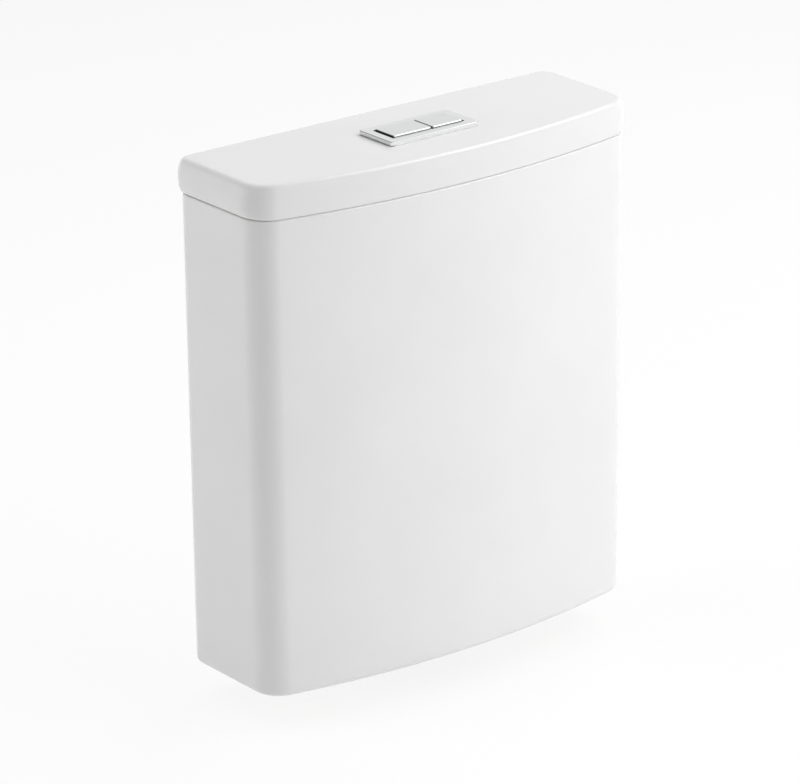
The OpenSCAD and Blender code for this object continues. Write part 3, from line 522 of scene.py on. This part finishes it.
def plate_material():
    """Satin chrome with a painted highlight on its front-facing walls, a painted dark line of shade on its
    chamfers, and painted near-black shade, as a rougher non-metal, in the well and underneath.
    """
    material, tree, bsdf, place = shader("polished_chrome")
    broad = noise(tree, place, scale=30)
    fine = noise(tree, place, scale=300, detail=2.0)
    normal = face_direction(tree)
    # Painted shade: near-black non-metal in the well and on faces that look down, in place of their shadow
    well = either(tree, below_plate(tree, place), less_than(tree, normal["Z"], FACES_DOWN))
    face = mottled(tree, broad, CHROME_COLOR, CHROME_VARIATION)
    # Painted highlight: faces that look to the front get a brighter chrome colour
    front_highlighted = painted(tree, face, less_than(tree, normal["Y"], FACES_FRONT), CHROME_FRONT_HIGHLIGHT)
    # Painted shade: the chamfers get a dark line
    chamfer_shaded = painted(tree, front_highlighted, on_chamfer(tree, normal), CHAMFER_SHADE_COLOR)
    gloss = calculated(tree, "MULTIPLY_ADD", well, WELL_ROUGHER, spread(tree, fine, 0.06, 0.09))
    tree.links.new(painted(tree, chamfer_shaded, well, GAP_SHADE_COLOR), bsdf.inputs["Base Color"])
    tree.links.new(calculated(tree, "SUBTRACT", 1, well), bsdf.inputs["Metallic"])
    tree.links.new(gloss, bsdf.inputs["Roughness"])
    bumped(tree, bsdf, fine, 0.002 * MM)
    return material


def key_material():
    """Brushed satin chrome with painted shade: darker chamfers, and near-black non-metal walls at the gap
    between the keys and at the left end.
    """
    material, tree, bsdf, place = shader("satin_chrome")
    broad = noise(tree, place, scale=40)
    fine = noise(tree, stretched(tree, place, STREAK_X), scale=60, detail=2.0)
    x = parts_of(tree, place)["X"]
    full_low, full_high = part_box("full_flush_key")
    half_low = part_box("half_flush_key")[0]
    # Painted shade: walls at the gap between the keys and at the full key's left end go near-black non-metal
    middle = product(tree, less_than(tree, x, half_low.x + KEY_WALL_SEEN),
                     more_than(tree, x, full_high.x - KEY_WALL_SEEN))
    gap = either(tree, middle, less_than(tree, x, full_low.x + KEY_WALL_SEEN))
    face = mottled(tree, broad, KEY_COLOR, KEY_VARIATION)
    # Painted shade: the chamfers are darker, which dims their highlight
    chamfer_shaded = painted(tree, face, on_chamfer(tree, face_direction(tree)), KEY_CHAMFER_SHADE_COLOR)
    tree.links.new(painted(tree, chamfer_shaded, gap, GAP_SHADE_COLOR), bsdf.inputs["Base Color"])
    tree.links.new(calculated(tree, "SUBTRACT", 1, gap), bsdf.inputs["Metallic"])
    tree.links.new(spread(tree, fine, 0.2, 0.28), bsdf.inputs["Roughness"])
    bumped(tree, bsdf, fine, 0.004 * MM)
    return material


def foam_material():
    """Dark closed-cell foam with open pores at its skin."""
    material, tree, bsdf, place = shader("foam_rubber")
    cells = tree.nodes.new("ShaderNodeTexVoronoi")
    cells.inputs["Scale"].default_value = 700
    tree.links.new(place, cells.inputs["Vector"])
    pores = cells.outputs["Distance"]
    tree.links.new(tinted(tree, pores, FOAM_DARK, FOAM_LIGHT), bsdf.inputs["Base Color"])
    bsdf.inputs["Roughness"].default_value = FOAM_ROUGHNESS
    bumped(tree, bsdf, pores, FOAM_PORE)
    return material


def metal(name, color, roughness, variation, grain, depth, stretch=None):
    return surface(name, color, roughness, variation, grain, depth, metallic=1.0, stretch=stretch)


# Plain finishes are given by colour, roughness, variation of colour, grain and depth of grain
materials = {
    "ceramic": glaze_material(),
    "plate_chrome": plate_material(),
    "key_chrome": key_material(),
    "spring_steel": metal("drawn_wire", (0.55, 0.55, 0.56), 0.3, 0.05, 900, 0.01 * MM),
    "bolt_steel": metal("zinc_plate", (0.62, 0.62, 0.60), 0.34, 0.08, 260, 0.01 * MM),
    "pin_steel": metal("ground_steel", (0.63, 0.63, 0.64), 0.22, 0.03, 50, 0.006 * MM, STREAK_X),
    "black_rubber": surface("black_rubber", (0.03, 0.03, 0.032), 0.68, 0.12, 700, 0.05 * MM),
    "foam_rubber": foam_material(),
    "pale_foam": surface("pale_foam", (0.86, 0.86, 0.86), 0.8, 0.06, 1500, 0.05 * MM),
    "seal_rubber": surface("silicone_seal", (0.62, 0.15, 0.04), 0.5, 0.05, 500, 0.02 * MM),
    "white_plastic": surface("white_plastic", (0.74, 0.74, 0.72), 0.42, 0.02, 1200, 0.02 * MM),
    "grey_plastic": surface("grey_plastic", (0.42, 0.43, 0.44), 0.4, 0.03, 1200, 0.02 * MM),
    "blue_plastic": surface("blue_plastic", (0.05, 0.16, 0.42), 0.28, 0.04, 1200, 0.015 * MM),
}
slot_of = {part["node"]: part["material_slot"] for part in frame["record"]["subparts"]}


def dress(piece, slot):
    piece.data.materials.clear()
    piece.data.materials.append(materials[slot])


for node_name, node in nodes.items():
    dress(node, slot_of[node_name])


def stands_for(piece, node, body):
    """The piece takes the node's place, finish and body."""
    dress(piece, slot_of[node])
    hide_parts(node)
    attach(piece, body)
    return piece


# Ceramic tank
def tank_piece():
    edge = INNER_EDGE_R
    rim_in = FOOT_RIM_W
    profile = [(rim_in + RECESS_DRAFT, FOOT_RECESS)]
    profile += arc((rim_in - edge, edge), edge, edge, 0, -90, INNER_EDGE_STEPS)
    profile += arc((FOOT_EDGE_R, FOOT_EDGE_R), FOOT_EDGE_R, FOOT_EDGE_R, 270, 180, EDGE_STEPS)
    profile += arc((RIM_EDGE_R, RIM_Z - RIM_EDGE_R), RIM_EDGE_R, RIM_EDGE_R, 180, 90, EDGE_STEPS)
    profile += arc((WALL_T - RIM_EDGE_R, RIM_Z - RIM_EDGE_R), RIM_EDGE_R, RIM_EDGE_R, 90, 0, EDGE_STEPS)
    fillet_z = FLOOR_Z + FLOOR_FILLET_R
    profile += arc((WALL_T + FLOOR_FILLET_R, fillet_z), FLOOR_FILLET_R, FLOOR_FILLET_R, 180, 270, EDGE_STEPS)
    profile.append((WALL_T + FLOOR_FILLET_R + SUPPORT, FLOOR_Z))
    tank = loft("tank_glazed", [tank_ring(inset, z) for inset, z in supported(profile)])
    z0, z1 = FOOT_RECESS - CUT_PAST, FLOOR_Z + CUT_PAST
    cutters = [round_cutter("outlet_cut", 0, 0, OUTLET_HOLE_R, z0, z1)]
    bolts_low, bolts_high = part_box("bolt_seals")
    bolt_r = (bolts_high.y - bolts_low.y) / 2
    for side, x in (("left", bolts_low.x + bolt_r), ("right", bolts_high.x - bolt_r)):
        cutters.append(round_cutter("bolt_cut_" + side, x, centre_of("bolt_seals").y, BOLT_HOLE_R, z0, z1))
    inlet = centre_of("shank_gasket")
    cutters.append(round_cutter("inlet_cut", inlet.x, inlet.y, INLET_HOLE_R, z0, z1))
    return drilled(tank, cutters)


def well_cutter(z0, z1):
    """Cutter for the flush plate's well, through everything between two heights."""
    bezel = centre_of("button_bezel")
    keys_low, keys_high = keys_box()
    width = keys_high.x - keys_low.x + 2 * (KEY_END_GAP + WELL_WALL + WELL_GAP)
    depth = keys_high.y - keys_low.y + 2 * (KEY_FRONT_GAP + WELL_WALL + WELL_GAP)
    corners = rounded(width, depth, WELL_CORNER_R, WELL_CORNER_STEPS)
    hole = [(bezel.x + x, bezel.y + y) for x, y in corners]
    return prism("well_cut", hole, z0 - CUT_PAST, z1 + CUT_PAST)


def lid_piece():
    lip_out = WALL_T + LIP_GAP
    lip_in = lip_out + LIP_T
    edge = INNER_EDGE_R
    lip = [(lip_in, LID_PANEL_Z)]
    lip += arc((lip_in - edge, LIP_FOOT_Z + edge), edge, edge, 0, -90, INNER_EDGE_STEPS)
    lip += arc((lip_out + edge, LIP_FOOT_Z + edge), edge, edge, 270, 180, INNER_EDGE_STEPS)
    lip.append((lip_out, RIM_Z))
    # Each point of the skirt is a share of the way in to the tank's outline, and a height
    skirt = arc((1, RIM_Z + LID_LOW_H), 1, LID_LOW_H, 270, 180, EDGE_STEPS)
    rings = [tank_ring(inset, z) for inset, z in supported(lip)]
    rings[-1] = seated(rings[-1])
    rings += [seated(skirt_ring(share, z)) for share, z in skirt]
    upper = zip(upper_edge(*LID_SIDE_EDGE), upper_edge(*LID_FRONT_EDGE))
    rings += [lid_ring(side, front) for side, front in upper]
    return drilled(loft("lid_glazed", rings), [well_cutter(LID_PANEL_Z, LID_TOP_Z)])


stands_for(tank_piece(), "tank_body", "tank")
stands_for(lid_piece(), "tank_lid", "lid")


# Sheet under the flush plate, flush with its edges except at its left end
GASKET_IN = 0.1 * MM
GASKET_END_IN = 3 * MM


def gasket_piece():
    low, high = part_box("bezel_gasket")
    plate_low, plate_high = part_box("button_bezel")
    left, right = plate_low.x + GASKET_END_IN, plate_high.x - GASKET_IN
    depth = plate_high.y - plate_low.y - 2 * GASKET_IN
    middle_y = (plate_low.y + plate_high.y) / 2
    sheet = [((left + right) / 2 + x, middle_y + y)
             for x, y in rounded(right - left, depth, WELL_CORNER_R, CORNER_STEPS)]
    return drilled(prism("gasket_sheet", sheet, low.z, high.z), [well_cutter(low.z, high.z)])


stands_for(gasket_piece(), "bezel_gasket", "lid")


# Key springs
SPRING_WIRE_R = 0.4 * MM
SPRING_TURNS = 4
SPRING_SIDES = 12
SPRING_RINGS = 28


def spring_piece(node):
    """A coil of wire in the place of the node's spring."""
    low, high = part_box(node)
    middle = (low + high) / 2
    coil_r = (high.x - low.x) / 2 - SPRING_WIRE_R
    z0, z1 = low.z + SPRING_WIRE_R, high.z - SPRING_WIRE_R
    steps = SPRING_TURNS * SPRING_RINGS
    bm = bmesh.new()
    rows = []
    for i in range(steps + 1):
        t = 2 * math.pi * i / SPRING_RINGS
        z = z0 + (z1 - z0) * i / steps
        row = []
        for k in range(SPRING_SIDES):
            u = 2 * math.pi * k / SPRING_SIDES
            r = coil_r + SPRING_WIRE_R * math.cos(u)
            row.append(bm.verts.new((middle.x + r * math.cos(t), middle.y + r * math.sin(t),
                                     z + SPRING_WIRE_R * math.sin(u))))
        rows.append(row)
    for a, b in zip(rows, rows[1:]):
        for k in range(SPRING_SIDES):
            m = (k + 1) % SPRING_SIDES
            bm.faces.new((a[k], a[m], b[m], b[k]))
    bm.faces.new(rows[0])
    bm.faces.new(rows[-1])
    piece = stands_for(new_object(node + "_coil", bm), node, "lid")
    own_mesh(piece)


spring_piece("full_key_spring")
spring_piece("half_key_spring")

# Threaded pieces
TURN_STEPS = 48
DOME_STEPS = 8
THREAD_ROWS = 8
THREAD_DEPTH = 0.54
THREAD_SLOPE = 1.7
THREAD_CREST = 0.35
BOLT_R = 4 * MM
BOLT_CORE_R = 3.4 * MM
BOLT_BRIM = 1.2 * MM
BOLT_RUN_OUT = 0.1 * MM
BOLT_POINT = 1 * MM
BOLT_SLOT_W = 1.6 * MM
BASE_BORE_R = 26 * MM
BASE_TAIL_WALL = 3.8 * MM
BASE_THROAT_R = 24.5 * MM
BASE_SEAT_W = 2.5 * MM
INLET_R = 10.48 * MM
INLET_BORE_R = 6.5 * MM
INLET_RELIEF = 0.8 * MM
FILL_RISER_R = 11 * MM
FILL_CONE = 2 * MM
WATER_SLOT = (6 * MM, 8 * MM)
SMALL_BEVEL = 0.5 * MM
BOLT_PITCH = 1.25 * MM
INLET_PITCH = 1.81 * MM
BASE_PITCH = 3 * MM


def threaded_wall(radius, z0, z1, pitch):
    """Points up a wall, close enough together to carry a thread."""
    rows = round((z1 - z0) / pitch * THREAD_ROWS)
    return [(radius, z0 + (z1 - z0) * i / rows) for i in range(rows + 1)]


def thread_depth(z, turn, z0, z1, pitch):
    """How deep the thread is at a height and a share of a turn, shallower at its ends."""
    phase = (z / pitch - turn) % 1
    valley = min(max(THREAD_SLOPE * abs(2 * phase - 1) - THREAD_CREST, 0), 1)
    run_out = min(max((z - z0) / pitch, 0), max((z1 - z) / pitch, 0), 1)
    return THREAD_DEPTH * pitch * valley * run_out


def revolve(bm, profile, x, y, thread=None):
    """Revolves a profile about an upright axis; points on the axis close it, otherwise it is a ring."""
    rows = []
    for radius, z in profile:
        row = []
        for k in range(TURN_STEPS if radius > 0 else 1):
            r = radius
            if thread and radius == thread[0] and thread[1] <= z <= thread[2]:
                r -= thread_depth(z, k / TURN_STEPS, *thread[1:])
            angle = 2 * math.pi * k / TURN_STEPS
            row.append(bm.verts.new((x + r * math.cos(angle), y + r * math.sin(angle), z)))
        rows.append(row)
    pairs = list(zip(rows, rows[1:]))
    if len(rows[0]) > 1:
        pairs.append((rows[-1], rows[0]))
    for a, b in pairs:
        for k in range(TURN_STEPS):
            m = (k + 1) % TURN_STEPS
            corners = [a[k % len(a)], a[m % len(a)], b[m % len(b)], b[k % len(b)]]
            bm.faces.new(list(dict.fromkeys(corners)))


def base_piece():
    """Outlet tail with its coarse thread, flange and raised seat."""
    low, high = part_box("valve_base")
    tail_r = BASE_BORE_R + BASE_TAIL_WALL
    flange_r = high.x
    flange_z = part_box("base_gasket")[1].z
    flange_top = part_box("valve_cage")[0].z
    edge = SMALL_BEVEL
    recess = FOOT_RECESS
    start, end = low.z + edge, flange_z - 2 * edge
    seat = BASE_THROAT_R + BASE_SEAT_W
    profile = [(BASE_BORE_R, low.z), (tail_r - edge, low.z)]
    profile += threaded_wall(tail_r, start, end, BASE_PITCH)
    profile += [(tail_r, flange_z), (flange_r - edge, flange_z), (flange_r, flange_z + edge),
                (flange_r, flange_top - edge), (flange_r - edge, flange_top),
                (seat + BASE_SEAT_W, flange_top), (seat + edge, high.z), (BASE_THROAT_R + edge, high.z),
                (BASE_THROAT_R, high.z - edge), (BASE_THROAT_R, recess),
                (BASE_BORE_R, recess - (BASE_BORE_R - BASE_THROAT_R))]
    bm = bmesh.new()
    revolve(bm, profile, 0, 0, (tail_r, start, end, BASE_PITCH))
    return new_object("outlet_base", bm)


def shank_piece():
    """Inlet tail with its fine thread, flange and riser tube, with water slots above the flange."""
    low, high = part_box("fill_shank")
    middle = (low + high) / 2
    flange_r = high.x - middle.x
    nut_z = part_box("shank_locknut")[0].z
    flange_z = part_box("shank_gasket")[1].z
    flange_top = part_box("valve_cage")[0].z
    groove_top = nut_z - INLET_RELIEF
    groove_z = groove_top - INLET_RELIEF
    groove_r = INLET_R - INLET_RELIEF
    edge = SMALL_BEVEL
    start = low.z + edge
    profile = [(INLET_BORE_R, low.z), (INLET_R - 2 * edge, low.z)]
    profile += threaded_wall(INLET_R, start, groove_z, INLET_PITCH)
    profile += [(groove_r, groove_z), (groove_r, groove_top), (INLET_R, groove_top), (INLET_R, flange_z),
                (flange_r - edge, flange_z), (flange_r, flange_z + edge), (flange_r, flange_top - edge),
                (FILL_RISER_R, flange_top + FILL_CONE), (FILL_RISER_R, high.z), (INLET_BORE_R, high.z)]
    bm = bmesh.new()
    revolve(bm, profile, middle.x, middle.y, (INLET_R, start, groove_z, INLET_PITCH))
    z0 = flange_top + 2 * FILL_CONE
    cutters = []
    slot_w, slot_h = WATER_SLOT
    for name, wide, deep in (("slot_x", 2 * flange_r, slot_w), ("slot_y", slot_w, 2 * flange_r)):
        cutters.append(block(name, middle.x, middle.y, wide, deep, z0, z0 + slot_h))
    return drilled(new_object("inlet_shank", bm), cutters)


def bolts_piece():
    """Two domed bolts with driver slots, threaded below their nuts."""
    low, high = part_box("pan_bolts")
    head_r = (high.y - low.y) / 2
    y = (low.y + high.y) / 2
    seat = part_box("bolt_seals")[1].z
    thread_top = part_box("bolt_nuts")[0].z - BOLT_RUN_OUT
    start = low.z + BOLT_POINT
    brim = seat + BOLT_BRIM
    dome = arc((0, brim), head_r, high.z - brim, 0, 90, DOME_STEPS)[:-1]
    profile = [(0, low.z), (BOLT_R - BOLT_POINT, low.z)]
    profile += threaded_wall(BOLT_R, start, thread_top, BOLT_PITCH)
    profile += [(BOLT_CORE_R, thread_top), (BOLT_CORE_R, seat), (head_r, seat)] + dome + [(0, high.z)]
    bm = bmesh.new()
    cutters = []
    for side, x in (("left", low.x + head_r), ("right", high.x - head_r)):
        revolve(bm, profile, x, y, (BOLT_R, start, thread_top, BOLT_PITCH))
        cutters.append(block("driver_slot_" + side, x, y, 2 * head_r, BOLT_SLOT_W,
                             (seat + high.z) / 2, high.z + CUT_PAST))
    return drilled(new_object("slotted_bolts", bm), cutters)


stands_for(base_piece(), "valve_base", "tank")
stands_for(shank_piece(), "fill_shank", "tank")
stands_for(bolts_piece(), "pan_bolts", "tank")


# Soft edges on the carried-over nodes
REPLACED = {"tank_body", "tank_lid", "bezel_gasket", "full_key_spring", "half_key_spring", "valve_base",
            "fill_shank", "pan_bolts"}
EDGE_WIDTH = {"plate_chrome": 0.12 * MM, "key_chrome": 0.15 * MM, "pin_steel": 0.2 * MM,
              "bolt_steel": 0.3 * MM}
PLAIN_EDGE = 0.35 * MM
WELD_GAP = 0.002 * MM
SHARP_ANGLE = math.radians(32)


def smoothing_group():
    """Node group that shades faces smooth and keeps edges sharper than an angle."""
    group = bpy.data.node_groups.new("smooth_by_angle", "GeometryNodeTree")
    group.interface.new_socket("Geometry", in_out="INPUT", socket_type="NodeSocketGeometry")
    group.interface.new_socket("Geometry", in_out="OUTPUT", socket_type="NodeSocketGeometry")
    source = group.nodes.new("NodeGroupInput")
    result = group.nodes.new("NodeGroupOutput")
    faces = group.nodes.new("GeometryNodeSetShadeSmooth")
    faces.domain = "FACE"
    edges = group.nodes.new("GeometryNodeSetShadeSmooth")
    edges.domain = "EDGE"
    edges.inputs["Shade Smooth"].default_value = False
    angle = group.nodes.new("GeometryNodeInputMeshEdgeAngle")
    sharp = group.nodes.new("FunctionNodeCompare")
    sharp.data_type = "FLOAT"
    sharp.operation = "GREATER_THAN"
    sharp.inputs["B"].default_value = SHARP_ANGLE
    group.links.new(source.outputs["Geometry"], faces.inputs["Geometry"])
    group.links.new(faces.outputs["Geometry"], edges.inputs["Geometry"])
    group.links.new(angle.outputs["Unsigned Angle"], sharp.inputs["A"])
    group.links.new(sharp.outputs["Result"], edges.inputs["Selection"])
    group.links.new(edges.outputs["Geometry"], result.inputs["Geometry"])
    return group


def soften(node, width, group):
    """Joins the node's split points, rounds its hard edges and shades it smooth, by modifiers alone."""
    weld = node.modifiers.new("joined", "WELD")
    weld.merge_threshold = WELD_GAP
    bevel = node.modifiers.new("soft_edges", "BEVEL")
    bevel.width = width
    bevel.segments = 2
    bevel.limit_method = "ANGLE"
    bevel.angle_limit = SHARP_ANGLE
    bevel.use_clamp_overlap = True
    smooth = node.modifiers.new("smooth", "NODES")
    smooth.node_group = group
    flat = node.modifiers.new("flat_faces", "WEIGHTED_NORMAL")
    flat.keep_sharp = True


smoothing = smoothing_group()
for node_name, node in nodes.items():
    if node_name not in REPLACED:
        soften(node, EDGE_WIDTH.get(slot_of[node_name], PLAIN_EDGE), smoothing)


def direction(azimuth, elevation):
    """From the object to a place round it, angles in degrees, with the front at 0."""
    a, e = math.radians(azimuth), math.radians(elevation)
    return Vector((math.sin(a) * math.cos(e), -math.cos(a) * math.cos(e), math.sin(e)))


# Camera at the photograph's angle
CAMERA_AZIMUTH = -37.92
CAMERA_ELEVATION = 20.46
CAMERA_ROLL = math.radians(-0.513)
CAMERA_DISTANCE = 3839.8 * MM
CAMERA_TARGET = Vector((0, -15.3, 190)) * MM
CAMERA_ASIDE = 24.25 * MM
CAMERA_RAISED = -20.94 * MM
SENSOR_WIDTH = 36
IMAGE_WIDTH = 800
FOCAL_PIXELS = 4720.3


def add_camera():
    back = direction(CAMERA_AZIMUTH, CAMERA_ELEVATION)
    level = (-back).cross(Vector((0, 0, 1))).normalized()
    upright = level.cross(-back)
    right = math.cos(CAMERA_ROLL) * level + math.sin(CAMERA_ROLL) * upright
    up = -math.sin(CAMERA_ROLL) * level + math.cos(CAMERA_ROLL) * upright
    data = bpy.data.cameras.new("photo_camera")
    data.sensor_width = SENSOR_WIDTH
    data.lens = SENSOR_WIDTH * FOCAL_PIXELS / IMAGE_WIDTH
    camera = bpy.data.objects.new("photo_camera", data)
    place = CAMERA_TARGET + back * CAMERA_DISTANCE - right * CAMERA_ASIDE - up * CAMERA_RAISED
    camera.matrix_world = Matrix.Translation(place) @ Matrix((right, up, back)).transposed().to_4x4()
    bpy.context.scene.collection.objects.link(camera)
    bpy.context.scene.camera = camera


add_camera()

# Floor, world and lamps
FLOOR_RADIUS = 4.0
FLOOR_DROP = 0.5 * MM
FLOOR_SIDES = 96
FLOOR_COLOR = (0.95, 0.95, 0.95, 1)
FLOOR_ROUGHNESS = 0.9
FLOOR_SHADOW = 0.12
AMBIENT = 0.1
WHITE = (1, 1, 1, 1)


def seen_directly(tree):
    """1 for camera, glossy and transmission rays, 0 for the light that reaches matt surfaces."""
    ray = tree.nodes.new("ShaderNodeLightPath").outputs
    seen = either(tree, ray["Is Camera Ray"], ray["Is Glossy Ray"])
    return either(tree, seen, ray["Is Transmission Ray"])


def add_world():
    world = bpy.data.worlds.new("white_studio")
    world.use_nodes = True
    tree = world.node_tree
    background = next(n for n in tree.nodes if n.type == "BACKGROUND")
    background.inputs["Color"].default_value = WHITE
    level = ranged(tree, seen_directly(tree), UNIT_SPAN, (AMBIENT, 1))
    tree.links.new(level, background.inputs["Strength"])
    bpy.context.scene.world = world


def add_floor():
    bm = bmesh.new()
    bmesh.ops.create_circle(bm, cap_ends=True, segments=FLOOR_SIDES, radius=FLOOR_RADIUS)
    floor = new_object("studio_floor", bm)
    floor.location.z = cad_low.z - FLOOR_DROP
    material, tree, bsdf, _ = shader("pale_floor")
    bsdf.inputs["Base Color"].default_value = FLOOR_COLOR
    bsdf.inputs["Roughness"].default_value = FLOOR_ROUGHNESS
    glow = tree.nodes.new("ShaderNodeEmission")
    glow.inputs["Color"].default_value = WHITE
    mix = tree.nodes.new("ShaderNodeMixShader")
    tree.links.new(product(tree, seen_directly(tree), 1 - FLOOR_SHADOW), mix.inputs["Fac"])
    tree.links.new(bsdf.outputs["BSDF"], mix.inputs[1])
    tree.links.new(glow.outputs["Emission"], mix.inputs[2])
    output = next(n for n in tree.nodes if n.type == "OUTPUT_MATERIAL")
    tree.links.new(mix.outputs["Shader"], output.inputs["Surface"])
    floor.data.materials.append(material)


LAMP_AIM = Vector((0, 0, 220)) * MM
LAMP_DISTANCE = 2.2
LAMP_SIZE = 1.4


def add_lamp(name, azimuth, elevation, power, width=LAMP_SIZE, height=LAMP_SIZE, glossy=False):
    """A soft box round the object, aimed at its middle; only a glossy one shows in reflections."""
    back = direction(azimuth, elevation)
    data = bpy.data.lights.new(name, "AREA")
    data.shape = "RECTANGLE"
    data.size = width
    data.size_y = height
    data.energy = power
    lamp = bpy.data.objects.new(name, data)
    lamp.location = LAMP_AIM + back * LAMP_DISTANCE
    lamp.rotation_mode = "QUATERNION"
    lamp.rotation_quaternion = (-back).to_track_quat("-Z", "Y")
    lamp.visible_glossy = glossy
    bpy.context.scene.collection.objects.link(lamp)


add_world()
add_floor()
add_lamp("left_box", -120, 10, 16.4)
add_lamp("left_high_box", -120, 60, 13.0)
add_lamp("front_box", 20, 15, 22.8)
add_lamp("right_high_box", 60, 50, 12.7, glossy=True)
add_lamp("back_right_box", 110, 40, 17.7)
add_lamp("edge_strip", 50, 45, 8.0, width=1.6, height=0.5, glossy=True)
bpy.context.scene.view_settings.view_transform = "Standard"
